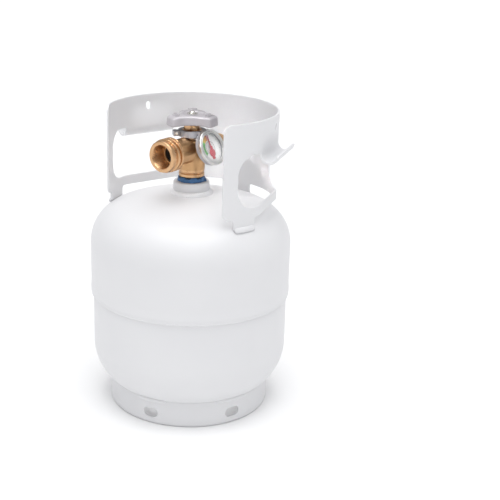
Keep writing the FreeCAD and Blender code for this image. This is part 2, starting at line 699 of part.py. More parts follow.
# ---- wheel ----
def wheel_outline(inset, z):
    """Three flat-ended lobes joined by hollow sides, drawn in by an inset."""
    lobe = WHEEL_LOBE - inset
    half = WHEEL_LOBE_HALF - inset * 0.55
    waist = WHEEL_WAIST - inset
    edges = []
    for k in range(3):
        turn = Rotation(UP, WHEEL_BEARING - 90 + 120 * k)
        after = Rotation(UP, WHEEL_BEARING - 90 + 120 * (k + 1))
        side = Rotation(UP, WHEEL_BEARING - 90 + 120 * k + 60)
        a = turn.multVec(Vector(lobe, -half, z))
        b = turn.multVec(Vector(lobe, half, z))
        c = after.multVec(Vector(lobe, -half, z))
        edges.append(Part.LineSegment(a, b).toShape())
        edges.append(Part.Arc(b, side.multVec(Vector(waist, 0, z)), c).toShape())
    return Part.Face(Part.Wire(edges))


def wheel_block(inset, corner, z0, z1):
    """The outline made solid, with rounded corners."""
    block = wheel_outline(inset, z0).extrude(Vector(0, 0, z1 - z0))
    edges = [e for e in block.Edges if abs(e.Vertexes[0].Z - e.Vertexes[-1].Z) > 1]
    return block.makeFillet(corner, edges)


def handwheel():
    """Die-cast three-lobed wheel, hollow underneath, dished round its screw."""
    top = WHEEL_Z + WHEEL_H
    body = wheel_block(0.0, WHEEL_CORNER, WHEEL_Z, top)
    rim = [e for e in body.Edges if abs(e.BoundBox.ZMin - top) < 1e-6]
    body = body.makeFillet(WHEEL_EDGE, rim)
    hollow = wheel_block(WHEEL_SKIRT, WHEEL_CORNER - WHEEL_SKIRT + 0.6, WHEEL_Z - 1, top - WHEEL_TOP)
    body = body.cut(hollow.cut(rod(WHEEL_HUB_R, WHEEL_Z - 2, top)))
    body = body.cut(rod(WHEEL_DISH_R, top - WHEEL_DISH, top + 1))
    half = STEM_SQUARE / 2 + CLEAR
    body = body.cut(box(-half, half, -half, half, WHEEL_Z - 1, top - WHEEL_TOP + CLEAR))
    return body.cut(rod(SCREW_R + 0.2, WHEEL_Z, top + 1)).removeSplitter()


def wheel_washer():
    """Washer under the wheel's screw."""
    z0 = WHEEL_Z + WHEEL_H - WHEEL_DISH
    return tube(SCREW_R + 0.2, WASHER_R, z0, z0 + WASHER_H)


def wheel_screw():
    """Cross-recessed pan-head screw into the stem."""
    z0 = WHEEL_Z + WHEEL_H - WHEEL_DISH + WASHER_H
    head = rod(SCREW_HEAD_R, z0, z0 + SCREW_HEAD_H)
    rim = [e for e in head.Edges if abs(e.BoundBox.ZMin - z0 - SCREW_HEAD_H) < 1e-6]
    head = head.makeFillet(1.2, rim)
    body = head.fuse(rod(SCREW_R, z0 - SCREW_LENGTH, z0))
    for turn in (0, 90):
        slot = box(-1.9, 1.9, -0.4, 0.4, z0 + SCREW_HEAD_H - 1.3, z0 + SCREW_HEAD_H + 1)
        slot.rotate(Vector(), UP, turn + WHEEL_BEARING)
        body = body.cut(slot)
    return body.removeSplitter()


# ---- gauge ----
def gauge_case():
    """Grey die-cast cup behind the dial."""
    cup = rod(CASE_R, CASE_BACK, GAUGE_FACE - BEZEL_LIP - LENS_H)
    cup = cup.cut(rod(CASE_R - CASE_WALL, CASE_BACK + CASE_WALL, GAUGE_FACE))
    cup = cup.cut(rod(GAUGE_STEM_R + CLEAR, CASE_BACK - 1, CASE_BACK + CASE_WALL + 1))
    return aimed(cup, GAUGE_AXIS, GAUGE_Z)


def gauge_bezel():
    """Plated ring that holds the lens on the case."""
    back = GAUGE_FACE - BEZEL_LIP - LENS_H - 1.6
    ring = rod(GAUGE_R, back, GAUGE_FACE)
    ring = ring.makeFillet(1.2, [e for e in ring.Edges if abs(e.BoundBox.ZMin - GAUGE_FACE) < 1e-6])
    ring = ring.cut(rod(CASE_R + 0.02, back - 1, GAUGE_FACE - BEZEL_LIP - LENS_H))
    ring = ring.cut(rod(CASE_R - 0.4, back, GAUGE_FACE - BEZEL_LIP + 0.01))
    ring = ring.cut(rod(BEZEL_IN_R, back, GAUGE_FACE + 1))
    return aimed(ring, GAUGE_AXIS, GAUGE_Z)


def gauge_lens():
    """Clear window."""
    front = GAUGE_FACE - BEZEL_LIP
    return aimed(rod(CASE_R - 0.45, front - LENS_H + 0.01, front), GAUGE_AXIS, GAUGE_Z)


def gauge_dial():
    """Printed plate."""
    front = GAUGE_FACE - DIAL_DROP
    plate = rod(DIAL_R, front - DIAL_H, front).cut(rod(ARBOR_R + 0.2, 0, GAUGE_FACE))
    return aimed(plate, GAUGE_AXIS, GAUGE_Z)


def gauge_needle():
    """Pointer with its round counterweight, on the arbor."""
    z0 = GAUGE_FACE - DIAL_DROP + 0.4
    points = [Vector(-NEEDLE_LENGTH, -0.25, z0), Vector(-NEEDLE_LENGTH, 0.25, z0),
              Vector(0, 0.9, z0), Vector(NEEDLE_TAIL, NEEDLE_TAIL_HALF, z0),
              Vector(NEEDLE_TAIL, -NEEDLE_TAIL_HALF, z0), Vector(0, -0.9, z0)]
    face = Part.Face(Part.makePolygon(points + points[:1]))
    needle = face.extrude(Vector(0, 0, NEEDLE_H)).fuse(rod(NEEDLE_HUB_R, z0, z0 + NEEDLE_H))
    needle = needle.fuse(rod(NEEDLE_DISC_R, z0, z0 + NEEDLE_H, Vector(NEEDLE_DISC_X, 0, 0)))
    needle = needle.cut(rod(ARBOR_R, z0 - 1, z0 + 2))
    return aimed(needle.removeSplitter(), GAUGE_AXIS, GAUGE_Z)


def gauge_arbor():
    """Arbor and pinion that carry the needle."""
    pinion_z = CASE_BACK + CASE_WALL + 0.6
    shaft = rod(ARBOR_R, pinion_z, GAUGE_FACE - DIAL_DROP + 0.4 + NEEDLE_H)
    return aimed(shaft.fuse(rod(1.8, pinion_z, pinion_z + 1.2)), GAUGE_AXIS, GAUGE_Z)


def bourdon_tube():
    """C-shaped pressure tube behind the dial."""
    centre = Vector(TUBE_BEND, 0, tube_height())
    face = Part.Face(Part.Wire(Part.makeCircle(TUBE_R, centre, BACK)))
    bend = face.revolve(Vector(), UP, TUBE_SWEEP)
    bend.rotate(Vector(), UP, TUBE_START)
    return aimed(bend, GAUGE_AXIS, GAUGE_Z)


def tube_height():
    """Distance from the valve's axis to the plane of the pressure tube."""
    return CASE_BACK + CASE_WALL + TUBE_R + 0.35


def gauge_stem():
    """Brass inlet stem from the valve's side port into the case."""
    floor = CASE_BACK + CASE_WALL
    start = (CAVITY_R + GAUGE_STEM_R * GAUGE_AXIS.z) / GAUGE_AXIS.x + 0.2
    outer = tube(1.2, GAUGE_STEM_R - CLEAR, start, floor + 0.6)
    root = box(2.0, TUBE_BEND + TUBE_R, -3.0, 0, floor + 0.05, tube_height() + TUBE_R)
    root.rotate(Vector(), UP, TUBE_START)
    return aimed(outer.fuse(root).removeSplitter(), GAUGE_AXIS, GAUGE_Z)


def clamp_z():
    """Lower edge of the gauge bracket's ring."""
    return NECK_Z - CLAMP_H - CLAMP_GAP


def gauge_bracket():
    """Grey bracket: a split ring round the neck, with an arm that carries the gauge case."""
    z0 = clamp_z()
    z1 = z0 + CLAMP_H
    ring = rod(CLAMP_R, z0, z1)
    lugs = box(-4, 4, -CLAMP_R - 5.5, -NECK_R, z0 + 0.6, z1 - 0.6)
    lugs.rotate(Vector(), UP, CLAMP_BEARING)
    shoulder = FACE_Z + COLUMN_TOP + 2
    arm = box(0, CASE_BACK, -6.5, 6.5, shoulder - 4.8, z1)
    body = ring.fuse(lugs).fuse(arm).cut(rod(NECK_R + CLEAR, FACE_Z, z1 + 1))
    body = body.cut(rod(COLUMN_R + CLEAR, FACE_Z, shoulder + CLEAR))
    slit = box(-CLAMP_SLIT / 2, CLAMP_SLIT / 2, -CLAMP_R - 10, 0, z0 - 1, z1 + 1)
    slit.rotate(Vector(), UP, CLAMP_BEARING)
    body = body.cut(slit)
    body = body.cut(clamp_cylinder(CLAMP_SCREW_R + CLEAR, 20, -10))
    case = aimed(rod(CASE_R + 0.02, CASE_BACK - 0.02, GAUGE_FACE), GAUGE_AXIS, GAUGE_Z)
    bezel_back = GAUGE_FACE - BEZEL_LIP - LENS_H - 1.8
    bezel = aimed(rod(GAUGE_R + 0.2, bezel_back, GAUGE_FACE + 1), GAUGE_AXIS, GAUGE_Z)
    return body.cut(case).cut(bezel).removeSplitter()


def clamp_cylinder(r, length, start):
    """A cylinder on the clamp screw's line."""
    body = Part.makeCylinder(r, length, Vector(start, -CLAMP_R - 2.6, clamp_z() + CLAMP_H / 2), RIGHT)
    body.rotate(Vector(), UP, CLAMP_BEARING)
    return body


def clamp_screw():
    """Screw that pinches the bracket on the neck."""
    return clamp_cylinder(CLAMP_SCREW_R, 8, -4).fuse(clamp_cylinder(2.6, 2, -6)).removeSplitter()


# ---- outlet check ----
def check_seat():
    """Distance from the valve's axis to the ring that the check poppet closes on."""
    return OUTLET_REACH - SOCKET_DEPTH - SEAL_POCKET - 2.5


def check_retainer():
    """Ring screwed into the check bore: the poppet closes on it."""
    face = check_seat()
    return aimed(tube(4.2, CHECK_BORE_R - 0.02, face, face + 2.5), FRONT, OUTLET_Z)


def outlet_seal():
    """Rubber ring at the bottom of the socket."""
    floor = check_seat() + 2.5
    ring = tube(6.2, SEAL_POCKET_R - 0.05, floor + 0.02, floor + SEAL_POCKET - 0.05)
    return aimed(ring, FRONT, OUTLET_Z)


def check_poppet():
    """Poppet that a connector pushes open."""
    seat = check_seat()
    body = rod(6.6, seat - 2.8, seat - 0.05).fuse(rod(3.0, seat - 0.1, seat + 4.6))
    return aimed(body.fuse(rod(3.4, seat - 4.6, seat - 2.6)), FRONT, OUTLET_Z)


def check_spring():
    """Spring behind the check poppet."""
    length = check_seat() - 2.8 - CHECK_BORE_END
    coil = wire_coil(4.7, 0.8, length - 2 * SPRING_GAP - 0.8, 4.0,
                     CHECK_BORE_END + SPRING_GAP + 0.4)
    return aimed(coil, FRONT, OUTLET_Z)


# ---- relief valve ----
def relief_body():
    """Brass relief housing, screwed into the back of the valve."""
    body = rod(RELIEF_R, RELIEF_STUB, RELIEF_END)
    body = body.fuse(hexagon(RELIEF_FLATS, RELIEF_STUB, RELIEF_STUB + RELIEF_FLANGE))
    body = body.fuse(rod(RELIEF_BORE_R - 0.02, RELIEF_STUB - 4.9, RELIEF_STUB))
    body = body.cut(rod(RELIEF_ORIFICE_R, RELIEF_STUB - 6, RELIEF_SEAT + 1))
    return aimed(body.cut(rod(RELIEF_BORE_R, RELIEF_SEAT, RELIEF_END + 1)), BACK, OUTLET_Z)


def relief_poppet():
    """Poppet held on its seat by the spring, with a guide stem."""
    body = rod(RELIEF_BORE_R - 0.6, RELIEF_SEAT + 1.0, RELIEF_SEAT + 3.2)
    return aimed(body.fuse(rod(1.4, RELIEF_SEAT + 3, RELIEF_END - 5.0)), BACK, OUTLET_Z)


def relief_disc():
    """Rubber disc on the poppet's face."""
    return aimed(rod(RELIEF_BORE_R - 0.7, RELIEF_SEAT + 0.03, RELIEF_SEAT + 1.0), BACK, OUTLET_Z)


def relief_spring():
    """Spring that sets the relief pressure."""
    z0 = RELIEF_SEAT + 3.2 + SPRING_GAP + 0.45
    z1 = RELIEF_END - 4.2 - SPRING_GAP - 0.45
    return aimed(wire_coil(3.2, 0.9, z1 - z0, 8.0, z0), BACK, OUTLET_Z)


def relief_cap():
    """Vented plug that loads the spring."""
    plug = tube(1.9, RELIEF_BORE_R - 0.02, RELIEF_END - 4.2, RELIEF_END - 1.4)
    for k in range(6):
        hole = rod(0.6, 0, RELIEF_END, Vector(3.5, 0, 0))
        hole.rotate(Vector(), UP, 60 * k)
        plug = plug.cut(hole)
    return aimed(plug, BACK, OUTLET_Z)


# ---- bleeder ----
def bleeder_screw():
    """Slotted screw that opens the fixed level tube."""
    tip = CAVITY_R + 2.1
    body = cone(1.0, BLEED_R - CLEAR, tip, tip + 1.6).fuse(rod(BLEED_R - CLEAR, tip + 1.6, BLEED_STUB))
    body = body.fuse(rod(BLEED_HEAD_R, BLEED_STUB + 0.4, BLEED_STUB + 0.4 + BLEED_HEAD))
    body = body.fuse(rod(BLEED_R - CLEAR, BLEED_STUB - 0.5, BLEED_STUB + 1))
    slot_z = BLEED_STUB + 0.4 + BLEED_HEAD
    slot = box(-5, 5, -0.5, 0.5, slot_z - 1.4, slot_z + 1)
    return aimed(body.cut(slot).removeSplitter(), LEFT, OUTLET_Z)


def dip_tube():
    """Fixed liquid level tube."""
    body = tube(DIP_R - DIP_WALL, DIP_R - 0.02, SHANK_Z - DIP_LENGTH, SHANK_Z + STOP_SPIGOT - 0.1)
    body.translate(Vector(DIP_X, 0, 0))
    return body


# ---- overfill stop ----
def stop_body():
    """Housing below the shank: spigot, chamber, port in its floor and the pivot's two ears."""
    top = SHANK_Z - 0.1
    body = rod(STOP_R - 2.4, STOP_Z, top)
    body = body.fuse(rod(SHANK_BORE_R - 0.03, top, SHANK_Z + STOP_SPIGOT - 0.2))
    for side in (-1, 1):
        y0 = side * (ARM_HALF + 0.2 + EAR_T / 2)
        ear = box(PIVOT_X - 4.5, PIVOT_X + 4, y0 - EAR_T / 2, y0 + EAR_T / 2, PIVOT_Z - 4, STOP_Z + 6)
        body = body.fuse(ear)
    floor = STOP_Z + STOP_FLOOR
    body = body.cut(rod(STOP_BORE_R, floor, floor + STOP_CHAMBER))
    body = body.cut(rod(STOP_PORT_R, STOP_Z - 1, SHANK_Z + STOP_SPIGOT))
    hole = Part.makeCylinder(PIVOT_R, 30, Vector(PIVOT_X, 15, PIVOT_Z), FRONT)
    return body.cut(hole).removeSplitter()


def pivot_pin():
    """Pin of the float arm, pressed into the ears."""
    half = ARM_HALF + 0.2 + EAR_T + 0.6
    return Part.makeCylinder(PIVOT_R - 0.01, 2 * half, Vector(PIVOT_X, half, PIVOT_Z), FRONT)


def float_arm():
    """Arm with its hub and the finger that holds the piston up."""
    hub = Part.makeCylinder(ARM_HUB_R, 2 * ARM_HALF, Vector(PIVOT_X, ARM_HALF, PIVOT_Z), FRONT)
    bar = box(PIVOT_X - 1.5, PIVOT_X + 1.5, -3, 3, PIVOT_Z - ARM_LENGTH - 6, PIVOT_Z)
    finger = box(-2.2, PIVOT_X, -2.5, 2.5, PIVOT_Z + 0.6, PIVOT_Z + 3.2)
    body = hub.fuse(bar).fuse(finger)
    bore = Part.makeCylinder(PIVOT_R + CLEAR, 30, Vector(PIVOT_X, 15, PIVOT_Z), FRONT)
    return body.cut(bore).removeSplitter()


def float_block():
    """Closed-cell float on the arm's end."""
    z1 = PIVOT_Z - ARM_LENGTH
    block = rod(FLOAT_R, z1 - FLOAT_LENGTH, z1, Vector(PIVOT_X, 0, 0))
    block = block.makeFillet(1.5, [e for e in block.Edges if e.BoundBox.ZLength < 0.1])
    return block.cut(box(PIVOT_X - 1.5, PIVOT_X + 1.5, -3, 3, z1 - 6, z1 + 1))


def stop_piston():
    """Fluted piston that drops on the port when the float takes the finger away."""
    z0 = STOP_Z + STOP_FLOOR + PISTON_TRAVEL + CLEAR + PISTON_SEAL_H
    body = rod(STOP_BORE_R - 0.1, z0, z0 + PISTON_H)
    for k in range(3):
        body = body.cut(rod(2.6, z0 - 1, z0 + PISTON_H + 1, polar(120 * k, STOP_BORE_R)))
    return body.fuse(rod(PISTON_STEM_R, PIVOT_Z + 3.3, z0)).removeSplitter()


def piston_seal():
    """Rubber washer under the piston."""
    z0 = STOP_Z + STOP_FLOOR + PISTON_TRAVEL + CLEAR
    return tube(PISTON_STEM_R, STOP_BORE_R - 2.0, z0, z0 + PISTON_SEAL_H)


NODES = (upper_shell, lower_shell, girth_weld, foot_ring, foot_welds, collar, collar_welds,
         valve_boss, boss_weld, valve_body, thread_seal_ring, bonnet_nut, stem, stem_seals,
         lower_spindle, seat_disc, handwheel, wheel_washer, wheel_screw, gauge_case, gauge_bezel,
         gauge_lens, gauge_dial, gauge_needle, gauge_arbor, bourdon_tube, gauge_stem,
         gauge_bracket, clamp_screw, check_retainer, outlet_seal, check_poppet, check_spring,
         relief_body, relief_poppet, relief_disc, relief_spring, relief_cap, bleeder_screw,
         dip_tube, stop_body, pivot_pin, float_arm, float_block, stop_piston, piston_seal)

os.makedirs("parts", exist_ok=True)
for make in NODES:
    shape = make()
    shape.exportStep("parts/" + make.__name__ + ".step")
    solids = len(shape.Solids)
    print(f"{make.__name__:18s} solids {solids} valid {shape.isValid()} volume {shape.Volume:.1f}")
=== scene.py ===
"""Looks of a small steel LP gas cylinder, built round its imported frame."""
import math
import bmesh
import bpy
import numpy as np
from mathutils import Matrix, Vector
from mathutils.geometry import delaunay_2d_cdt


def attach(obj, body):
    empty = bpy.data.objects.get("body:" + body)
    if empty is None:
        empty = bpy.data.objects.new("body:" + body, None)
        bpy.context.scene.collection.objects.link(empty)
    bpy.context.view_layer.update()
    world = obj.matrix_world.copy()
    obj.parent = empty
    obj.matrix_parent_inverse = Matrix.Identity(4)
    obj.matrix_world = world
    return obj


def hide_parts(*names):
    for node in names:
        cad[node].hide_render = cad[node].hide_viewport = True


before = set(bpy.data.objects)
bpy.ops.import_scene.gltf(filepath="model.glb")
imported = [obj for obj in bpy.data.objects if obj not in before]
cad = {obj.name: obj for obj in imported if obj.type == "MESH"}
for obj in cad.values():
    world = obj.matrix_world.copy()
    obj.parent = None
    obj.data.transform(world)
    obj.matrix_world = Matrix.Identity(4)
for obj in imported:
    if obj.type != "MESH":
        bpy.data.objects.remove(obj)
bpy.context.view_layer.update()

# ---------------------------------------------------------------- studio
# A pale seamless floor, a bright even room, a broad overhead light and a soft box: the plain
# white surroundings that a small painted cylinder is shown in.
MM = 0.001


def linear(code, alpha=1.0):
    """An sRGB hex colour as linear numbers: c/12.92 below 0.04045, else ((c + 0.055)/1.055)^2.4."""
    srgb = np.array([int(code[k:k + 2], 16) for k in (1, 3, 5)]) / 255
    lin = np.where(srgb <= 0.04045, srgb / 12.92, ((srgb + 0.055) / 1.055) ** 2.4)
    return (*lin.tolist(), alpha)


def add(tree, kind, settings=None, links=None):
    """Adds one shader node, with its own settings, its inputs' values and what feeds them."""
    made = tree.nodes.new(kind)
    for key, value in (settings or {}).items():
        if isinstance(key, str) and hasattr(made, key):
            setattr(made, key, value)
        else:
            made.inputs[key].default_value = value
    for key, source in (links or {}).items():
        tree.links.new(source, made.inputs[key])
    return made


def blank(name):
    """An empty node material, its tree and its Object coordinates."""
    finish = bpy.data.materials.new(name)
    finish.use_nodes = True
    tree = finish.node_tree
    tree.nodes.clear()
    return finish, tree, add(tree, "ShaderNodeTexCoord").outputs["Object"]


def finish_with(tree, settings, links):
    """Ends a material in one Principled surface."""
    shader = add(tree, "ShaderNodeBsdfPrincipled", settings, links)
    add(tree, "ShaderNodeOutputMaterial", None, {"Surface": shader.outputs[0]})


def studio_floor():
    """A flat disc of floor, radius 9 m, in rings: x = r sin a, y = -r cos a, z = 0."""
    a = np.linspace(0, 2 * np.pi, 97)[:-1]
    r = np.array([0.0, 0.3, 1.0, 3.0, 9.0])[:, None]
    ring = np.stack([r * np.sin(a), -r * np.cos(a), 0 * r * a - 0.00002], axis=-1).reshape(-1, 3)
    k = np.arange(4 * 96).reshape(4, 96)
    nxt = np.roll(k, -1, axis=1)
    faces = np.stack([k, k + 96, nxt + 96, nxt], axis=-1).reshape(-1, 4)
    mesh = bpy.data.meshes.new("studio_floor")
    mesh.from_pydata(ring.tolist(), [], faces.tolist())
    bm = bmesh.new()
    bm.from_mesh(mesh)
    bmesh.ops.remove_doubles(bm, verts=bm.verts, dist=1e-6)
    bm.to_mesh(mesh)
    bm.free()
    floor = bpy.data.objects.new("studio_floor", mesh)
    bpy.context.scene.collection.objects.link(floor)
    paper, tree, at = blank("white_paper_floor")
    grain = add(tree, "ShaderNodeTexNoise", {"Scale": 900.0, "Detail": 3.0}, {"Vector": at})
    bump = add(tree, "ShaderNodeBump", {"Strength": 0.05, "Distance": 0.0001},
               {"Height": grain.outputs[0]})
    finish_with(tree, {"Base Color": linear("#f7f7f7"), "Roughness": 0.75,
                       "Specular IOR Level": 0.15}, {"Normal": bump.outputs[0]})
    mesh.materials.append(paper)


def lamp(name, place, target, size, power, spread=180):
    """A square soft box that faces a point, its light kept within a spread in degrees."""
    data = bpy.data.lights.new(name, "AREA")
    data.shape = "SQUARE"
    data.size = size
    data.energy = power
    data.spread = math.radians(spread)
    box = bpy.data.objects.new(name, data)
    box.location = place
    box.rotation_euler = (Vector(target) - Vector(place)).to_track_quat("-Z", "Y").to_euler()
    bpy.context.scene.collection.objects.link(box)


studio_floor()
lamp("key_softbox", (0.9, -1.2, 1.5), (0, 0, 0.2), 0.9, 2.6)
lamp("collar_card", (-0.05, -0.75, 0.95), (-0.005, 0.03, 0.262), 0.08, 0.022, 9)
lamp("light_table", (0, 0, 0.002), (0, 0, 1), 0.09, 0.06)
skylight = bpy.data.lights.new("skylight", "SUN")
skylight.energy = 2.3
skylight.angle = math.radians(60)
overhead = bpy.data.objects.new("skylight", skylight)
overhead.rotation_euler = (math.radians(5), math.radians(4), 0)
bpy.context.scene.collection.objects.link(overhead)

# The room gives a soft even light, and reads as plain white where the camera sees it.
ROOM_LIGHT, ROOM_SEEN = 0.5, 1.1
world = bpy.data.worlds.new("bright_room")
world.use_nodes = True
world.node_tree.nodes.clear()
seen = add(world.node_tree, "ShaderNodeLightPath").outputs["Is Camera Ray"]
bright = add(world.node_tree, "ShaderNodeMapRange",
             {"To Min": ROOM_LIGHT, "To Max": ROOM_SEEN}, {"Value": seen})
room = add(world.node_tree, "ShaderNodeBackground", {"Color": linear("#fbfcff")},
           {"Strength": bright.outputs[0]})
add(world.node_tree, "ShaderNodeOutputWorld", None, {"Surface": room.outputs[0]})
bpy.context.scene.world = world
bpy.context.scene.view_settings.view_transform = "Standard"

# The camera stands 1.066 m from the cylinder's axis, 38 degrees round towards the gauge.
VIEW_BEARING = math.radians(38.0)
VIEW_DISTANCE = 1.066
VIEW_HEIGHT = 0.527
AIM_HEIGHT = 0.160
VIEW_ROLL = math.radians(0.78)
lens = bpy.data.cameras.new("camera")
lens.lens = 79.2
lens.sensor_width = 36.0
lens.shift_x = 0.119
camera = bpy.data.objects.new("camera", lens)
camera.location = (VIEW_DISTANCE * math.sin(VIEW_BEARING),
                   -VIEW_DISTANCE * math.cos(VIEW_BEARING), VIEW_HEIGHT)
look = (Vector((0, 0, AIM_HEIGHT)) - camera.location).to_track_quat("-Z", "Y").to_matrix()
camera.rotation_euler = (look @ Matrix.Rotation(VIEW_ROLL, 3, "Z")).to_euler()
bpy.context.scene.collection.objects.link(camera)
bpy.context.scene.camera = camera

# ---------------------------------------------------------------- vessel
# Two deep-drawn steel halves, the lower one slipped up inside the upper one, shot-blasted
# and powder coated white.  The upper half swells a little where it is expanded over the lap.
BODY_R, SHEET = 101.6, 2.0
LOW_R = BODY_R - SHEET - 0.1
TOP_KNUCKLE, TOP_CROWN = 40.0, 220.0
LOW_KNUCKLE, LOW_CROWN = 52.0, 200.0
GROUND_GAP, STRAIGHT, SKIRT, LAP = 6.0, 106.0, 51.5, 12.0
NECK_HOLE_R = 16.1
LAP_SWELL = 0.45


def head(radius, knuckle, crown, r):
    """Rise of a torispherical head over its tangent line: crown sphere, then knuckle torus."""
    centre, reach = radius - knuckle, crown - knuckle
    fall = math.sqrt(reach ** 2 - centre ** 2)
    dome = np.sqrt(np.maximum(crown ** 2 - r ** 2, 0)) - fall
    bend = np.sqrt(np.maximum(knuckle ** 2 - (r - centre) ** 2, 0))
    return np.where(r <= centre * crown / reach, dome, bend)


HEEL_Z = GROUND_GAP + float(head(LOW_R, LOW_KNUCKLE, LOW_CROWN, np.array(0.0)))
SHOULDER_Z = HEEL_Z + STRAIGHT
SEAM_Z = SHOULDER_Z - SKIRT


def top_z(r):
    """Height of the vessel's top at radius r."""
    return SHOULDER_Z + head(BODY_R, TOP_KNUCKLE, TOP_CROWN, np.asarray(r, float))


def low_z(r):
    """Height of the vessel's underside at radius r."""
    return HEEL_Z - head(LOW_R, LOW_KNUCKLE, LOW_CROWN, np.asarray(r, float))


def patch(grid, wrap_rows=False, wrap_cols=False):
    """A grid of points as (points, quads): each point joins the next in its row and column."""
    rows, cols = grid.shape[:2]
    k = np.arange(rows * cols).reshape(rows, cols)
    down = np.roll(k, -1, axis=0) if wrap_rows else k[1:]
    here = k if wrap_rows else k[:-1]
    if wrap_cols:
        right_here, right_down = np.roll(here, -1, axis=1), np.roll(down, -1, axis=1)
    else:
        right_here, right_down = here[:, 1:], down[:, 1:]
        here, down = here[:, :-1], down[:, :-1]
    quads = np.stack([here, right_here, right_down, down], axis=-1).reshape(-1, 4)
    return grid.reshape(-1, 3), quads


def piece(name, patches, finish, body, slot, *nodes, weld=0.002):
    """Joins patches given in mm into one smooth closed mesh that rides on a body."""
    points, faces, start = [], [], 0
    for pts, quads in patches:
        points.append(pts)
        faces.extend((quads + start).tolist())
        start += len(pts)
    mesh = bpy.data.meshes.new(name)
    mesh.from_pydata((np.concatenate(points) * MM).tolist(), [], faces)
    bm = bmesh.new()
    bm.from_mesh(mesh)
    bmesh.ops.remove_doubles(bm, verts=bm.verts, dist=weld * MM)
    bmesh.ops.recalc_face_normals(bm, faces=bm.faces)
    bm.to_mesh(mesh)
    bm.free()
    mesh.polygons.foreach_set("use_smooth", np.ones(len(mesh.polygons), bool))
    mesh.materials.append(finish)
    made = bpy.data.objects.new(name, mesh)
    bpy.context.scene.collection.objects.link(made)
    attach(made, body)
    if nodes:
        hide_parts(*nodes)
    return made


def turned(profile, steps=192, wrap=False):
    """A profile of (r, z) carried round Z: x = r sin a, y = -r cos a."""
    a = np.linspace(0, 2 * np.pi, steps + 1)[:-1]
    r, z = profile[:, 0, None], profile[:, 1, None]
    grid = np.stack([r * np.sin(a), -r * np.cos(a), z + 0 * a], axis=-1)
    return patch(grid, wrap_rows=wrap, wrap_cols=True)


def rounded(corners, steps=5):
    """A profile through (r, z, radius) corners, each corner an arc between its tangent points."""
    c = np.array(corners, float)
    out = [c[:1, :2]]
    for before, here, after in zip(c[:-2], c[1:-1], c[2:]):
        if here[2] <= 0:
            out.append(here[None, :2])
            continue
        u = (before - here)[:2] / np.linalg.norm((before - here)[:2])
        v = (after - here)[:2] / np.linalg.norm((after - here)[:2])
        half = math.acos(float(np.clip(u @ v, -1, 1))) / 2
        cut = here[2] / math.tan(half)
        centre = here[:2] + (u + v) / np.linalg.norm(u + v) * here[2] / math.sin(half)
        t = np.linspace(0, 1, steps)[:, None]
        chord = (here[:2] + u * cut) * (1 - t) + (here[:2] + v * cut) * t - centre
        out.append(centre + chord / np.linalg.norm(chord, axis=1)[:, None] * here[2])
    out.append(c[-1:, :2])
    return np.concatenate(out)


def powder_coat(name, lumps):
    """Baked white polyester powder: satin, with a fine orange peel over the blasted steel."""
    finish, tree, at = blank(name)
    tone = add(tree, "ShaderNodeTexNoise", {"Scale": 14.0, "Detail": 4.0}, {"Vector": at})
    colour = add(tree, "ShaderNodeMix", {"data_type": "RGBA", "A": linear("#dfdfe1"),
                                         "B": linear("#e7e7e8")}, {"Factor": tone.outputs[0]})
    peel = add(tree, "ShaderNodeTexNoise", {"Scale": 620.0, "Detail": 2.0}, {"Vector": at})
    dents = add(tree, "ShaderNodeTexNoise", {"Scale": 75.0, "Detail": 2.0}, {"Vector": at})
    fine = add(tree, "ShaderNodeBump", {"Strength": 0.22, "Distance": 0.00006},
               {"Height": peel.outputs[0]})
    both = add(tree, "ShaderNodeBump", {"Strength": 0.3, "Distance": lumps},
               {"Height": dents.outputs[0], "Normal": fine.outputs[0]})
    gloss = add(tree, "ShaderNodeMapRange", {"To Min": 0.34, "To Max": 0.46},
                {"Value": dents.outputs[0]})
    finish_with(tree, {"IOR": 1.5}, {"Base Color": colour.outputs["Result"],
                                     "Roughness": gloss.outputs[0], "Normal": both.outputs[0]})
    return finish


white_coat = powder_coat("white_powder_coat", 0.00012)
weld_coat = powder_coat("white_powder_coat_on_weld", 0.0005)


def upper_half():
    """Outer wall (head, then straight skirt with its swell), rounded edge, inner wall back up."""
    crown = np.linspace(NECK_HOLE_R, 60, 26)
    knuckle = BODY_R - TOP_KNUCKLE + TOP_KNUCKLE * np.sin(np.linspace(0, np.pi / 2, 34))
    knuckle = np.maximum(knuckle, crown[-1] + 0.05 * np.arange(1, 35))
    r = np.minimum(np.concatenate([crown, knuckle]), BODY_R)
    z = np.linspace(SHOULDER_Z - 1.5, SEAM_Z + 0.7, 30)
    swell = LAP_SWELL * np.exp(-((z - SEAM_Z - 3.2) / 4.2) ** 2)
    outer = np.concatenate([np.stack([r, top_z(r)], 1), np.stack([BODY_R + swell, z], 1)])
    edge = [[BODY_R + 0.1, SEAM_Z + 0.1], [BODY_R - 0.5, SEAM_Z], [BODY_R - 1.9, SEAM_Z],
            [BODY_R - SHEET, SHOULDER_Z]]
    back = r[::3][::-1]
    back = np.maximum(back - np.linspace(SHEET, 0.0, len(back)), NECK_HOLE_R)
    rise = head(BODY_R - SHEET, TOP_KNUCKLE - SHEET, TOP_CROWN - SHEET, back)
    return np.concatenate([outer, np.array(edge), np.stack([back, SHOULDER_Z + rise], 1)])


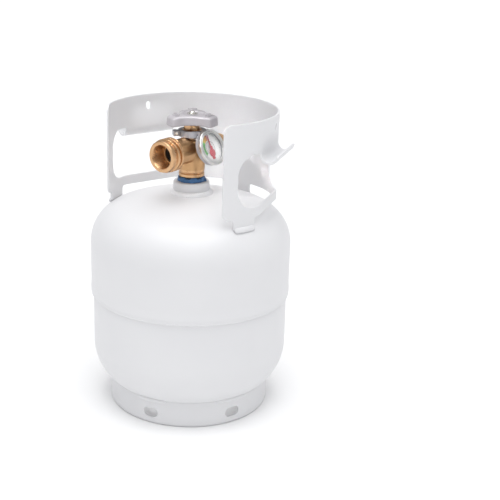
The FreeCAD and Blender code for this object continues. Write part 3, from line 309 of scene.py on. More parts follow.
def lower_half():
    """Outer wall from the pole up to the lap, its edge, and the inner wall back to the pole."""
    a = np.linspace(0, np.pi / 2, 72)
    r = LOW_R * np.sin(a)
    outer = np.stack([r, low_z(r)], 1)
    lap = np.array([[LOW_R, HEEL_Z + 14], [LOW_R, HEEL_Z + 30], [LOW_R, SEAM_Z],
                    [LOW_R, SEAM_Z + LAP - 0.4], [LOW_R - 0.4, SEAM_Z + LAP],
                    [LOW_R - 1.6, SEAM_Z + LAP], [LOW_R - SHEET, SEAM_Z + LAP - 0.4]])
    r = (LOW_R - SHEET) * np.cos(a[::2])
    rise = head(LOW_R - SHEET, LOW_KNUCKLE - SHEET, LOW_CROWN - SHEET, r)
    return np.concatenate([outer, lap, np.stack([r, HEEL_Z - rise], 1)])


piece("upper_shell_skin", [turned(upper_half(), 256, wrap=True)], white_coat,
      "tank", "tank_paint", "upper_shell")
piece("lower_shell_skin", [turned(lower_half(), 256)], white_coat,
      "tank", "tank_paint", "lower_shell")

# ---------------------------------------------------------------- welds
# Submerged-arc bead round the lap, and hand-laid fillet beads under the collar's feet, round
# the boss and above the foot ring.  All are steel, coated with the vessel.
RIPPLE = 1.7            # spacing of the frozen ripples along a bead


def bead(bearing, span, r, z, wide, tall, tilt, steps=None):
    """An oval carried along an arc, tilted, rippled along its length and closed at both ends."""
    full = span >= 360
    length = math.radians(span) * r
    n = steps or int(length / RIPPLE * 5)
    t = np.linspace(0, 1, n + 1)[:-1] if full else np.linspace(0, 1, n)
    a = np.radians(bearing + span * (t - 0.5))[:, None]
    taper = 1.0 if full else np.sqrt(np.clip(1 - np.abs(2 * t - 1) ** 7, 0, 1))[:, None]
    count = round(length / RIPPLE)
    wave = 1 + 0.05 * np.cos(2 * np.pi * count * t)[:, None] + 0.04 * np.sin(t * 23.0)[:, None]
    b = np.linspace(0, 2 * np.pi, 17)[:-1][None, :]
    u, w = wide * np.cos(b) * wave * taper, tall * np.sin(b) * wave * taper
    c, s = math.cos(math.radians(tilt)), math.sin(math.radians(tilt))
    rr, zz = r + u * c - w * s, z + u * s + w * c
    grid = np.stack([rr * np.sin(a), -rr * np.cos(a), zz], axis=-1)
    return patch(grid, wrap_rows=full, wrap_cols=True)


piece("girth_weld_bead", [bead(0, 360, LOW_R + 0.3, SEAM_Z - 0.7, 1.9, 2.5, -20, 2000)],
      weld_coat, "tank", "weld_paint", "girth_weld")

# ---------------------------------------------------------------- foot ring
# Strip steel rolled into a band, its lower edge curled inwards, with six oval vent holes.
# Six beads join it to the lower half, one over each hole.
FOOT_R, FOOT_SHEET, FOOT_CURL = 82.2, 2.0, 3.2
FOOT_TOP = float(low_z(FOOT_R - FOOT_SHEET)) - 0.05
FOOT_EDGE = float(low_z(FOOT_R)) - 0.15
HOLE_W, HOLE_H, HOLE_Z, HOLE_BEARING = 8.1, 5.2, 12.2, 10.5
CURL_Z = FOOT_CURL - 0.2


def foot_sector(bearing):
    """From the hole's outline to the sector's, row by row: point = hole (1 - v) + outline v."""
    half = math.pi / 6 * FOOT_R
    lo, hi = CURL_Z - HOLE_Z, FOOT_EDGE - HOLE_Z
    x, y = np.linspace(-half, half, 49), np.linspace(lo, hi, 13)
    side = np.concatenate([np.stack([x, 0 * x + lo], 1)[:-1], np.stack([0 * y + half, y], 1)[:-1],
                           np.stack([x[::-1], 0 * x + hi], 1)[:-1],
                           np.stack([0 * y - half, y[::-1]], 1)[:-1]])
    c, s = (side / np.linalg.norm(side, axis=1)[:, None]).T
    run = HOLE_W - HOLE_H
    flat = HOLE_H / np.maximum(np.abs(s), 1e-6)
    curve = run * np.abs(c) + np.sqrt(HOLE_H ** 2 - (run * s) ** 2)
    reach = np.where(flat * np.abs(c) <= run, flat, curve)
    v = (np.linspace(0, 1, 12) ** 1.6)[:, None, None]
    flat_pts = np.stack([c * reach, s * reach], 1) * (1 - v) + side * v
    a = math.radians(bearing) + flat_pts[..., 0] / FOOT_R
    grid = np.stack([FOOT_R * np.sin(a), -FOOT_R * np.cos(a), flat_pts[..., 1] + HOLE_Z], axis=-1)
    return patch(grid, wrap_cols=True)


def foot_curl():
    """The curled edge: a half circle in section, then 2 mm straight up."""
    b = np.linspace(0, np.pi, 15)
    r = np.concatenate([FOOT_R - FOOT_CURL + FOOT_CURL * np.cos(b), [FOOT_R - 2 * FOOT_CURL]])
    z = np.concatenate([np.maximum(CURL_Z - FOOT_CURL * np.sin(b), 0), [CURL_Z + FOOT_SHEET]])
    a = (math.radians(HOLE_BEARING - 30) + np.linspace(0, 2 * np.pi, 289))[:-1]
    grid = np.stack([r[:, None] * np.sin(a), -r[:, None] * np.cos(a), z[:, None] + 0 * a], axis=-1)
    return patch(grid, wrap_cols=True)


sectors = [HOLE_BEARING + 60 * k for k in range(6)]
band = piece("foot_ring_band", [foot_sector(b) for b in sectors] + [foot_curl()], white_coat,
             "tank", "tank_paint", "foot_ring", weld=0.02)
wall = band.modifiers.new("sheet", "SOLIDIFY")
wall.thickness, wall.offset, wall.use_even_offset = FOOT_SHEET * MM, -1.0, True
soft = band.modifiers.new("painted_edge", "BEVEL")
soft.width, soft.segments, soft.limit_method, soft.angle_limit = 0.5 * MM, 3, "ANGLE", 0.9
piece("foot_ring_beads",
      [bead(b, 25, FOOT_R - 0.4, FOOT_TOP + 1.2, 3.6, 2.4, 50) for b in sectors],
      weld_coat, "tank", "weld_paint", "foot_welds")

# ---------------------------------------------------------------- collar
# One strip of steel, blanked with its holes and feet, rolled into a C, with the top edge of
# each hand hole pressed flat and rolled outwards into a half-round grip.
COLLAR_R, COLLAR_T, MOUTH_HALF = 85.8, 2.2, 58.0
COLLAR_FEET, FOOT_HALF = (74.8, 180.0, 285.2), 13.0
BAND_Z = float(top_z(COLLAR_R)) + 11.4
RIM_Z = float(top_z(COLLAR_R)) + 103.9
TAB_Z = float(top_z(COLLAR_R - COLLAR_T)) + 0.05
HAND_BEARING, HAND_HALF, HAND_CORNER = 108.5, 54.9, 19.0
HAND_Z, HAND_TOP = BAND_Z + 9.9, BAND_Z + 61.2
GRIP_HALF, GRIP_ROLL, GRIP_Z, GRIP_WEB = 30.0, 9.6, RIM_Z - 32.7, 24.7
GRIP_OUT = math.sqrt(COLLAR_R ** 2 - GRIP_HALF ** 2)
GRIP_T = GRIP_OUT - math.sqrt((COLLAR_R - COLLAR_T) ** 2 - GRIP_HALF ** 2)
GRIP_MID = GRIP_ROLL - GRIP_T / 2
GRIP_END = GRIP_Z - math.pi * GRIP_MID


def outline(corners, step=1.6):
    """A closed outline through (x, y, radius) corners, evenly divided."""
    c = list(corners)
    ring = rounded([(*((np.array(c[0][:2]) + np.array(c[-1][:2])) / 2), 0)] + c
                   + [(*((np.array(c[0][:2]) + np.array(c[-1][:2])) / 2), 0)], 9)
    gap = np.linalg.norm(np.diff(ring, axis=0), axis=1)
    ring = ring[np.concatenate([[True], gap > 1e-6])]
    run = np.concatenate([[0], np.cumsum(np.linalg.norm(np.diff(ring, axis=0), axis=1))])
    t = np.linspace(0, run[-1], int(run[-1] / step) + 1)[:-1]
    return np.stack([np.interp(t, run, ring[:, 0]), np.interp(t, run, ring[:, 1])], 1)


def arc_of(x):
    """Arc length along the collar's outside of a point at chord x from a bearing."""
    return COLLAR_R * np.arcsin(x / COLLAR_R)


def collar_outline():
    """The blank's outer edge: two rounded ends and three feet."""
    edge = math.radians(MOUTH_HALF) * COLLAR_R
    back = math.pi * COLLAR_R
    corners = [(edge, RIM_Z, 8), (edge, BAND_Z, 8)]
    for bearing in COLLAR_FEET:
        s = math.radians(bearing) * COLLAR_R
        left, right = s - FOOT_HALF, s + FOOT_HALF
        corners += [(left, BAND_Z, 2.5), (left, TAB_Z, 1), (right, TAB_Z, 1), (right, BAND_Z, 2.5)]
    corners += [(2 * back - edge, BAND_Z, 8), (2 * back - edge, RIM_Z, 8)]
    return outline(corners)


def hand_outline(bearing):
    """A hand hole in the blank, with the tongue that becomes the rolled grip hanging into it."""
    s = math.radians(bearing) * COLLAR_R
    side, lip = arc_of(HAND_HALF), arc_of(GRIP_HALF)
    corners = [(-side, HAND_Z, HAND_CORNER), (side, HAND_Z, HAND_CORNER),
               (side, HAND_TOP, HAND_CORNER), (lip, HAND_TOP, 0.8), (lip, GRIP_END, 2.5),
               (-lip, GRIP_END, 2.5), (-lip, HAND_TOP, 0.8), (-side, HAND_TOP, HAND_CORNER)]
    return outline([(x + s, y, q) for x, y, q in corners])


def pin_outline(bearing):
    """The small oval hole over a grip."""
    s = math.radians(bearing) * COLLAR_R
    z = RIM_Z - 12.0
    return outline([(s - 2.5, z - 4, 2.4), (s + 2.5, z - 4, 2.4), (s + 2.5, z + 4, 2.4),
                    (s - 2.5, z + 4, 2.4)], 0.7)


def smooth(t):
    """3t^2 - 2t^3 between 0 and 1."""
    t = np.clip(t, 0, 1)
    return t * t * (3 - 2 * t)


def rolled(flat, q):
    """Rolls the blank up: q is 0 on the outside face and 1 on the inside face.

    A plain point stands at bearing s/R and height v.  Round a grip the wall is drawn in to a
    chord, more so further down; below GRIP_Z it goes round the half circle of the grip."""
    bearing, v = flat[:, 0] / COLLAR_R, flat[:, 1]
    mid = math.radians(HAND_BEARING)
    mid = np.where(bearing > np.pi, 2 * np.pi - mid, mid)
    r = COLLAR_R - q * COLLAR_T
    a = bearing - mid
    near = smooth((math.radians(39) - np.abs(a)) / math.radians(17))
    chord = np.arcsin(np.clip(COLLAR_R / r * np.sin(np.clip(a, -1.2, 1.2)), -1, 1))
    a = a + (chord - a) * near * q
    x, y = r * np.sin(a), r * np.cos(a)
    grip = GRIP_OUT - q * GRIP_T
    drawn = (np.abs(x) < GRIP_HALF + 4) & (v < GRIP_Z + GRIP_WEB)
    deep = np.where(drawn, np.maximum(y - grip, 0), 0)
    deep = deep * deep / (deep + 0.25)
    y = y - deep * (1 - smooth((v - GRIP_Z) / GRIP_WEB))
    turn = np.maximum(GRIP_Z - v, 0) / GRIP_MID
    rho = GRIP_ROLL - GRIP_T + q * GRIP_T
    on_roll = (np.abs(x) < GRIP_HALF + 2) & (v < GRIP_Z) & (v > GRIP_END - 3) & (np.abs(a) < 0.5)
    on_roll &= (flat[:, 1] > HAND_Z + 8) & (np.abs(x) < GRIP_HALF + 0.6)
    y = np.where(on_roll, y + rho * (1 - np.cos(turn)), y)
    z = np.where(on_roll, GRIP_Z - rho * np.sin(turn), v)
    c, s = np.cos(mid), np.sin(mid)
    return np.stack([y * s + x * c, -(y * c - x * s), z], 1)


def inside(points, ring):
    """Even-odd test of points against a closed outline."""
    x, y = points[:, :1], points[:, 1:]
    x0, y0 = ring.T
    x1, y1 = np.roll(ring, -1, axis=0).T
    cross = ((y0 > y) != (y1 > y)) & (x < (x1 - x0) * (y - y0) / (y1 - y0 + 1e-12) + x0)
    return cross.sum(axis=1) % 2 == 1


def nearest(points, ring):
    """Distance from each point to the nearest corner of an outline."""
    gap = points[:, None, :] - ring[None, :, :]
    return np.sqrt((gap ** 2).sum(axis=2).min(axis=1))


def collar_patches():
    """Both faces of the sheet, and the rounded edge that joins them along every outline."""
    rings = [collar_outline()]
    for bearing in (HAND_BEARING, 360 - HAND_BEARING):
        rings += [hand_outline(bearing), pin_outline(bearing)]
    inset, loops, outs = 0.6, [], []
    for k, ring in enumerate(rings):
        along = np.roll(ring, -1, axis=0) - np.roll(ring, 1, axis=0)
        out = np.stack([along[:, 1], -along[:, 0]], 1) / np.linalg.norm(along, axis=1)[:, None]
        if inside(ring[:1] + out[:1] * 0.05, ring)[0] == (k == 0):
            out = -out
        loops.append(ring - out * inset)
        outs.append(out)
    s, v = np.meshgrid(np.arange(85.0, 445.0, 2.4), np.arange(TAB_Z + 1, RIM_Z, 1.7))
    fill = np.stack([s.ravel(), v.ravel()], 1)
    keep = inside(fill, loops[0])
    for loop in loops[1:]:
        keep &= ~inside(fill, loop)
    for loop in loops:
        keep &= nearest(fill, loop) > 1.1
    fill = fill[keep]
    points, edges = np.concatenate(loops + [fill]), []
    start = 0
    for loop in loops:
        k = start + np.arange(len(loop))
        edges += np.stack([k, np.roll(k, -1)], 1).tolist()
        start += len(loop)
    made = delaunay_2d_cdt([Vector(p) for p in points.tolist()], edges, [], 0, 1e-6)
    flat, tris = np.array([tuple(p) for p in made[0]]), np.array(made[2])
    middle = flat[tris].mean(axis=1)
    good = inside(middle, loops[0])
    for loop in loops[1:]:
        good &= ~inside(middle, loop)
    tris = tris[good]
    faces = [(rolled(flat, 0.0), tris), (rolled(flat, 1.0), tris)]
    through = np.array([0, 0.03, 0.09, 0.18, 0.3, 0.5, 0.7, 0.82, 0.91, 0.97, 1.0])
    proud = inset * np.sqrt(1 - np.abs(2 * through - 1) ** 3.2)
    for loop, out in zip(loops, outs):
        rows = [rolled(loop + out * p, q) for p, q in zip(proud, through)]
        faces.append(patch(np.stack(rows), wrap_cols=True))
    return faces


piece("collar_guard", collar_patches(), white_coat, "tank", "tank_paint", "collar", weld=0.004)
piece("collar_foot_beads", [bead(b, 16.5, COLLAR_R + 0.6, TAB_Z + 0.2, 3.0, 1.9, -52)
                            for b in COLLAR_FEET],
      weld_coat, "tank", "weld_paint", "collar_welds")

# ---------------------------------------------------------------- boss
# Turned steel half-coupling for the valve, welded into the top of the vessel.
BOSS_Z = float(top_z(16.0)) + 0.05
FACE_Z = BOSS_Z + 12.2
piece("valve_boss_ring",
      [turned(rounded([(13.35, BOSS_Z - 9, 0), (13.35, FACE_Z, 0.5), (18.2, FACE_Z, 1.4),
                       (18.2, BOSS_Z - 0.5, 0), (16.0, BOSS_Z - 0.5, 0), (16.0, BOSS_Z - 10, 0),
                       (13.2, BOSS_Z - 10, 0), (13.35, BOSS_Z - 9, 0)]), 128)],
      white_coat, "tank", "tank_paint", "valve_boss")
piece("boss_weld_bead", [bead(0, 360, 18.5, BOSS_Z + 0.7, 3.6, 2.4, -38, 360)],
      weld_coat, "tank", "weld_paint", "boss_weld")

# ---------------------------------------------------------------- valve body
# Hot-forged brass, shot-blasted, then turned: base, outlet nose and threads.  The forging is
# one blended solid; the turned end carries a coarse outside thread and a fine inside one.
OUTLET_Z = FACE_Z + 32.5
NECK_Z = FACE_Z + 52.1
OUTLET_REACH, NOSE, THREAD_RUN = 47.6, 5.0, 12.0
THREAD_R, ROOT_R, PITCH = 16.67, 14.1, 5.08
SOCKET_R, SOCKET_DEPTH, FINE_PITCH = 11.2, 18.0, 1.81
COLUMN_R, SKIN = 13.2, 0.42


def forged_brass():
    """Blasted forging brass: warm tan, matt, darker in random patches, with a 0.3 mm grit."""
    finish, tree, at = blank("forged_brass")
    patchy = add(tree, "ShaderNodeTexNoise", {"Scale": 130.0, "Detail": 5.0}, {"Vector": at})
    colour = add(tree, "ShaderNodeMix", {"data_type": "RGBA", "A": linear("#b58a60"),
                                         "B": linear("#d9b183")}, {"Factor": patchy.outputs[0]})
    grit = add(tree, "ShaderNodeTexNoise", {"Scale": 2600.0, "Detail": 3.0}, {"Vector": at})
    bump = add(tree, "ShaderNodeBump", {"Strength": 0.5, "Distance": 0.00007},
               {"Height": grit.outputs[0]})
    gloss = add(tree, "ShaderNodeMapRange", {"To Min": 0.3, "To Max": 0.46},
                {"Value": patchy.outputs[0]})
    finish_with(tree, {"Metallic": 1.0}, {"Base Color": colour.outputs["Result"],
                                          "Roughness": gloss.outputs[0], "Normal": bump.outputs[0]})
    return finish


def turned_brass(name, tone, direction):
    """Machined brass: brighter, with tool marks 0.35 mm apart along the turning axis."""
    finish, tree, at = blank(name)
    lines = add(tree, "ShaderNodeTexWave", {"bands_direction": direction, "Scale": 450.0,
                                            "Distortion": 1.5, "Detail": 2.0}, {"Vector": at})
    cloud = add(tree, "ShaderNodeTexNoise", {"Scale": 220.0, "Detail": 4.0}, {"Vector": at})
    colour = add(tree, "ShaderNodeMix", {"data_type": "RGBA", "A": linear(tone),
                                         "B": linear("#e3bd92")}, {"Factor": cloud.outputs[0]})
    bump = add(tree, "ShaderNodeBump", {"Strength": 0.12, "Distance": 0.00005},
               {"Height": lines.outputs["Fac"]})
    gloss = add(tree, "ShaderNodeMapRange", {"To Min": 0.22, "To Max": 0.36},
                {"Value": cloud.outputs[0]})
    finish_with(tree, {"Metallic": 1.0}, {"Base Color": colour.outputs["Result"],
                                          "Roughness": gloss.outputs[0], "Normal": bump.outputs[0]})
    return finish


brass = forged_brass()
outlet_brass = turned_brass("turned_brass_outlet", "#c0926a", "Y")
base_brass = turned_brass("turned_brass_base", "#c0926a", "Z")
inner_brass = turned_brass("turned_brass_inner", "#b08860", "X")


def aimed(patch_in, axis, z, up=(0, 0, 1)):
    """Turns a patch built along +Z to an axis: local Z to axis, local Y to up, at height z."""
    points, quads = patch_in
    axis, up = np.array(axis, float), np.array(up, float)
    basis = np.stack([np.cross(up, axis), up, axis])
    return points @ basis + np.array([0, 0, z]), quads


FRONT, BACK, LEFT = (0, -1, 0), (0, 1, 0), (-1, 0, 0)


def octagonal(rows, steps=128):
    """Rows of (radius, z) with eight soft flats: radius = lesser of it and 0.965 r / cos(side)."""
    a = np.linspace(0, 2 * np.pi, steps + 1)[:-1][None, :]
    r, z = np.array(rows, float)[:, :1], np.array(rows, float)[:, 1:]
    side = 0.965 * r / np.cos(a % (np.pi / 4) - np.pi / 8)
    r = np.where(r > 10, np.minimum(side, r), r + 0 * a)
    return patch(np.stack([r * np.sin(a), -r * np.cos(a), z + 0 * a], axis=-1), wrap_cols=True)


def forging():
    """Column, barrel and stubs as closed turned solids, fused by a 0.42 mm voxel skin."""
    column = rounded([(0, FACE_Z + 10.5, 0), (12.6, FACE_Z + 10.5, 1), (COLUMN_R, FACE_Z + 15, 1),
                      (COLUMN_R, FACE_Z + 41, 1.5), (10, FACE_Z + 43.5, 1), (10, NECK_Z, 0.6),
                      (0, NECK_Z, 0)])
    barrel = [(9, 10), (COLUMN_R, 10), (13.1, 20), (12.9, 30.9), (12.2, 31.3), (9, 31.3), (9, 10)]
    relief = rounded([(0, 0, 0), (8.8, 0, 1), (8.4, 17, 0.8), (0, 17, 0)])
    bleed = rounded([(0, 0, 0), (5.6, 0, 1), (5.0, 16, 0.7), (0, 16, 0)])
    patches = [turned(column, 96), aimed(octagonal(barrel), FRONT, OUTLET_Z),
               aimed(turned(relief, 64), BACK, OUTLET_Z), aimed(turned(bleed, 48), LEFT, OUTLET_Z)]
    rough = piece("forging_blank", patches, brass, "tank", "valve_brass")
    skin = rough.modifiers.new("fuse", "REMESH")
    skin.mode, skin.voxel_size, skin.use_smooth_shade = "VOXEL", SKIN * MM, True
    ease = rough.modifiers.new("blend", "SMOOTH")
    ease.factor, ease.iterations = 0.5, 14
    fused = bpy.data.meshes.new_from_object(
        rough.evaluated_get(bpy.context.evaluated_depsgraph_get()))
    bpy.data.objects.remove(rough)
    n = len(fused.vertices)
    co = np.zeros(n * 3)
    fused.vertices.foreach_get("co", co)
    co = co.reshape(-1, 3) / MM
    ridge = 0.42 * np.exp(-(co[:, 0] / 0.55) ** 2) * (co[:, 2] > OUTLET_Z + 8) * (co[:, 1] < -9)
    ridge = ridge * (co[:, 1] > -30)
    co[:, 2] += ridge
    quads = np.zeros(len(fused.loops), np.int32)
    fused.loops.foreach_get("vertex_index", quads)
    bpy.data.meshes.remove(fused)
    return co, quads.reshape(-1, 4)


def tooth(phase, flank=0.2):
    """A trapezoid thread form: 1 on the crest, 0 in the root, straight flanks between."""
    p = np.abs((phase % 1.0) - 0.5) * 2
    return smooth((0.5 + flank - p) / (2 * flank))


def outlet_end():
    """Threaded end: radius at (angle, reach) is the root plus the tooth's height along a helix."""
    start = OUTLET_REACH - NOSE - THREAD_RUN
    nose = OUTLET_REACH - NOSE
    out = np.array([[12.0, start - 0.6], [13.6, start - 0.2]])
    run = np.arange(start, nose + 0.01, 0.2)
    out = np.concatenate([out, np.stack([0 * run + ROOT_R, run], 1)])
    lip = rounded([(ROOT_R, nose + 0.2, 0), (15.4, nose + 0.6, 0.4), (15.5, OUTLET_REACH, 1.0),
                   (11.9, OUTLET_REACH, 0.5), (SOCKET_R, OUTLET_REACH - 1.2, 0.2),
                   (SOCKET_R, OUTLET_REACH - 1.5, 0)])
    bore = np.arange(OUTLET_REACH - 1.7, OUTLET_REACH - SOCKET_DEPTH + 0.4, -0.2)
    rest = np.array([[SOCKET_R, OUTLET_REACH - SOCKET_DEPTH], [10.6, OUTLET_REACH - SOCKET_DEPTH],
                     [10.6, 27.2], [8.0, 27.2], [8.0, 14.0], [4.0, 14.0], [4.0, 12.0], [0.0, 12.0]])
    prof = np.concatenate([out, lip, np.stack([0 * bore + SOCKET_R, bore], 1), rest])
    a = np.linspace(0, 2 * np.pi, 181)[:-1][None, :]
    r, y = prof[:, :1] + 0 * a, prof[:, 1:] + 0 * a
    first = len(out)
    gate = np.zeros_like(r)
    run_y = y[2:first]
    gate[2:first] = smooth((run_y - start + 0.3) / 1.2) * smooth((nose + 0.6 - run_y) / 0.8)
    r = r + (THREAD_R - ROOT_R) * tooth(y / PITCH - a / (2 * np.pi)) * gate
    fine = np.zeros_like(r)
    fine[first + len(lip):first + len(lip) + len(bore)] = 1
    r = r - 0.45 * fine * (0.5 + 0.5 * np.cos(2 * np.pi * (y / FINE_PITCH + a / (2 * np.pi))))
    grid = np.stack([r * np.sin(a), -r * np.cos(a), y], axis=-1)
    return patch(grid, wrap_cols=True)


piece("valve_forging", [forging()], brass, "tank", "valve_brass", "valve_body")
piece("valve_outlet_end", [aimed(outlet_end(), FRONT, OUTLET_Z)], outlet_brass,
      "tank", "valve_brass", "valve_body")
piece("valve_base_ring",
      [turned(rounded([(9.0, FACE_Z - 19.9, 0), (12.6, FACE_Z - 19.9, 0.5), (COLUMN_R, FACE_Z, 0),
                       (12.2, FACE_Z + 0.1, 0), (12.2, FACE_Z + 5.2, 0), (12.9, FACE_Z + 5.6, 0.4),
                       (12.9, FACE_Z + 8.2, 0.5), (11.7, FACE_Z + 8.9, 0.3),
                       (11.7, FACE_Z + 9.6, 0.3), (12.9, FACE_Z + 10.3, 0.5),
                       (13.0, FACE_Z + 13.0, 0.4), (9.0, FACE_Z + 13.4, 0)]),
              128)], base_brass, "tank", "valve_brass", "valve_body")


def moulded(name, low, high, grain, rough, deep=0.0001, detail=4.0):
    """A moulded, foamed or cured plastic or rubber: noise of its cells' or skin's size in mm."""
    finish, tree, at = blank(name)
    cells = add(tree, "ShaderNodeTexNoise", {"Scale": 1 / (grain * MM), "Detail": detail},
                {"Vector": at})
    colour = add(tree, "ShaderNodeMix", {"data_type": "RGBA", "A": linear(low),
                                         "B": linear(high)}, {"Factor": cells.outputs[0]})
    bump = add(tree, "ShaderNodeBump", {"Strength": 0.4, "Distance": deep},
               {"Height": cells.outputs[0]})
    finish_with(tree, {"Roughness": rough}, {"Base Color": colour.outputs["Result"],
                                             "Normal": bump.outputs[0]})
    return finish


def sealant_ring():
    """A squeezed ring: its radius wanders by sines, with a torn tail on one side."""
    prof = rounded([(12.3, FACE_Z + 0.05, 0), (14.3, FACE_Z + 0.05, 0.8), (13.5, FACE_Z + 3.4, 1.0),
                    (12.3, FACE_Z + 5.0, 0), (12.3, FACE_Z + 0.05, 0)], 6)
    a = np.linspace(0, 2 * np.pi, 181)[:-1][None, :]
    r, z = prof[:, :1] + 0 * a, prof[:, 1:] + 0 * a
    low = np.clip((FACE_Z + 3.2 - z) / 3.2, 0, 1) * (r > 12.5)
    r = r + low * (0.25 * np.sin(9 * a + 1) + 0.18 * np.sin(23 * a) + 0.12 * np.sin(41 * a + 2))
    tail = np.exp(-((a - math.radians(112)) / 0.16) ** 2)
    tail = tail + 0.6 * np.exp(-((a - math.radians(134)) / 0.09) ** 2)
    r = r + 2.0 * tail * low
    z = z + 0.5 * np.sin(7 * a + 2) * (z > FACE_Z + 3.5)
    return patch(np.stack([r * np.sin(a), -r * np.cos(a), z], axis=-1), wrap_cols=True)


# Anaerobic thread sealant, cured hard: its 3.3 mm clouds read as a dusty blue.
sealant = moulded("blue_thread_sealant", "#22426b", "#4f86bd", 1 / 0.3, 0.45, 0.0003, 5.0)
piece("thread_sealant_ring", [sealant_ring()], sealant, "tank", "blue_sealant", "thread_seal_ring")

# ---------------------------------------------------------------- bonnet
# Turned hexagonal brass gland nut that holds the stem in the neck.


def hexagon(flats, rows, steps=144):
    """Rows of (cap radius, z): radius is the lesser of the hexagon's side and the cap."""
    a = np.linspace(0, 2 * np.pi, steps + 1)[:-1][None, :]
    side = flats / 2 / np.cos((a + np.pi / 6) % (np.pi / 3) - np.pi / 6)
    cap, z = np.array(rows)[:, :1], np.array(rows)[:, 1:]
    r = np.minimum(side, cap)
    return patch(np.stack([r * np.sin(a), -r * np.cos(a), z + 0 * a], axis=-1), wrap_cols=True)


piece("bonnet_hex_nut",
      [hexagon(15.0, [(4.1, NECK_Z + 0.02), (7.6, NECK_Z + 0.02), (8.1, NECK_Z + 0.2),
                      (8.65, NECK_Z + 0.5), (8.65, NECK_Z + 5.0), (8.3, NECK_Z + 5.25),
                      (7.4, NECK_Z + 5.6), (7.0, NECK_Z + 5.7), (4.4, NECK_Z + 5.7),
                      (4.1, NECK_Z + 5.4), (4.1, NECK_Z + 0.02)])],
      base_brass, "tank", "valve_brass", "bonnet_nut")

# ---------------------------------------------------------------- handwheel
# Die-cast zinc, lilac-grey enamel: three flat-ended lobes, a deep skirt, a shallow dish for
# its screw, and raised direction marks.  Below it is hollow, with a hub on the stem's square.
WHEEL_Z, WHEEL_H = NECK_Z + 6.7, 9.5
WHEEL_DROOP = 1.4       # how much lower the lobes' ends are
WHEEL_BEARING, LOBE, LOBE_HALF, WAIST = -22.0, 25.5, 8.2, 15.9


def grey_enamel(name, low, high, flake):
    """Grey stoving enamel with a little metal in it, over a cast skin of 1 mm waves."""
    finish, tree, at = blank(name)
    cloud = add(tree, "ShaderNodeTexNoise", {"Scale": 90.0, "Detail": 4.0}, {"Vector": at})
    colour = add(tree, "ShaderNodeMix", {"data_type": "RGBA", "A": linear(low),
                                         "B": linear(high)}, {"Factor": cloud.outputs[0]})
    skin = add(tree, "ShaderNodeTexNoise", {"Scale": 1000.0, "Detail": 3.0}, {"Vector": at})
    bump = add(tree, "ShaderNodeBump", {"Strength": 0.25, "Distance": 0.0001},
               {"Height": skin.outputs[0]})
    finish_with(tree, {"Metallic": flake, "Roughness": 0.42},
                {"Base Color": colour.outputs["Result"], "Normal": bump.outputs[0]})
    return finish


enamel = grey_enamel("lilac_grey_enamel", "#a29ea2", "#b8b4b8", 0.35)
case_enamel = grey_enamel("grey_enamel_case", "#9c9ca0", "#b4b4b8", 0.3)


def wheel_rim(steps=360):
    """Radius of the wheel's outline by angle: three flats and three hollows, corners eased."""
    a = np.linspace(0, 2 * np.pi, steps + 1)[:-1]
    b = np.abs((a + np.pi / 3) % (2 * np.pi / 3) - np.pi / 3)
    tip = np.array([LOBE, LOBE_HALF])
    axis = np.array([0.5, math.sqrt(3) / 2])
    along, off = tip @ axis, tip @ np.array([axis[1], -axis[0]])
    centre = WAIST + (off ** 2 + (along - WAIST) ** 2) / (2 * (along - WAIST))
    bow = centre - WAIST
    c = np.cos(np.pi / 3 - b) * centre
    hollow = c - np.sqrt(np.maximum(c ** 2 - centre ** 2 + bow ** 2, 0))
    rim = np.where(b < math.atan2(LOBE_HALF, LOBE), LOBE / np.cos(b), hollow)
    ease = np.exp(-0.5 * (np.arange(-14, 15) / 4.6) ** 2)
    return a, np.convolve(np.concatenate([rim[-14:], rim, rim[:14]]), ease / ease.sum(), "valid")


def wheel_rows():
    """Rows of (share of the way from a circle to the rim, circle or inset, height)."""
    top = WHEEL_Z + WHEEL_H
    rows = [(0, 0.01, top - 0.8), (0, 5.4, top - 0.8), (0, 8.9, top - 0.75), (0, 9.3, top - 0.55),
            (0, 9.5, top - 0.1), (0, 9.8, top + 0.12), (0, 10.2, top + 0.15)]
    rows += [(t, 2.4, top + 0.15 - 0.75 * t ** 2) for t in np.linspace(0.08, 1, 14)]
    for b in np.linspace(0.12, np.pi / 2, 7):
        rows.append((2, 2.4 * (1 - math.sin(b)), top - 3.0 + 2.4 * math.cos(b)))
    rows += [(2, -0.15, WHEEL_Z + 4), (2, -0.3, WHEEL_Z + 1.2), (2, -0.1, WHEEL_Z + 0.3),
             (2, 0.5, WHEEL_Z), (2, 2.0, WHEEL_Z), (2, 2.5, WHEEL_Z + 0.4), (2, 2.9, WHEEL_Z + 5.4),
             (2, 3.4, WHEEL_Z + 6.0)]
    rows += [(0, 8.2, WHEEL_Z + 6.0), (0, 7.2, WHEEL_Z + 5.4), (0, 7.0, WHEEL_Z + 0.4),
             (0, 6.6, WHEEL_Z), (0, 4.2, WHEEL_Z), (0, 3.9, WHEEL_Z + 0.3), (0, 3.9, WHEEL_Z + 5.8),
             (0, 0.01, WHEEL_Z + 5.8)]
    return rows


def wheel_skin():
    """The rows carried round the rim: a circle near the middle, the rim's outline outside."""
    a, rim = wheel_rim()
    grid = []
    for share, size, z in wheel_rows():
        r = size + 0 * a if share == 0 else rim - size
        if 0 < share <= 1:
            r = 10.2 + (rim - size - 10.2) * share
        turn = a + math.radians(WHEEL_BEARING)
        z = z - WHEEL_DROOP * (np.maximum(r - 12.0, 0) / 13.5) ** 2
        grid.append(np.stack([r * np.sin(turn), -r * np.cos(turn), z + 0 * a], 1))
    return patch(np.stack(grid), wrap_cols=True)


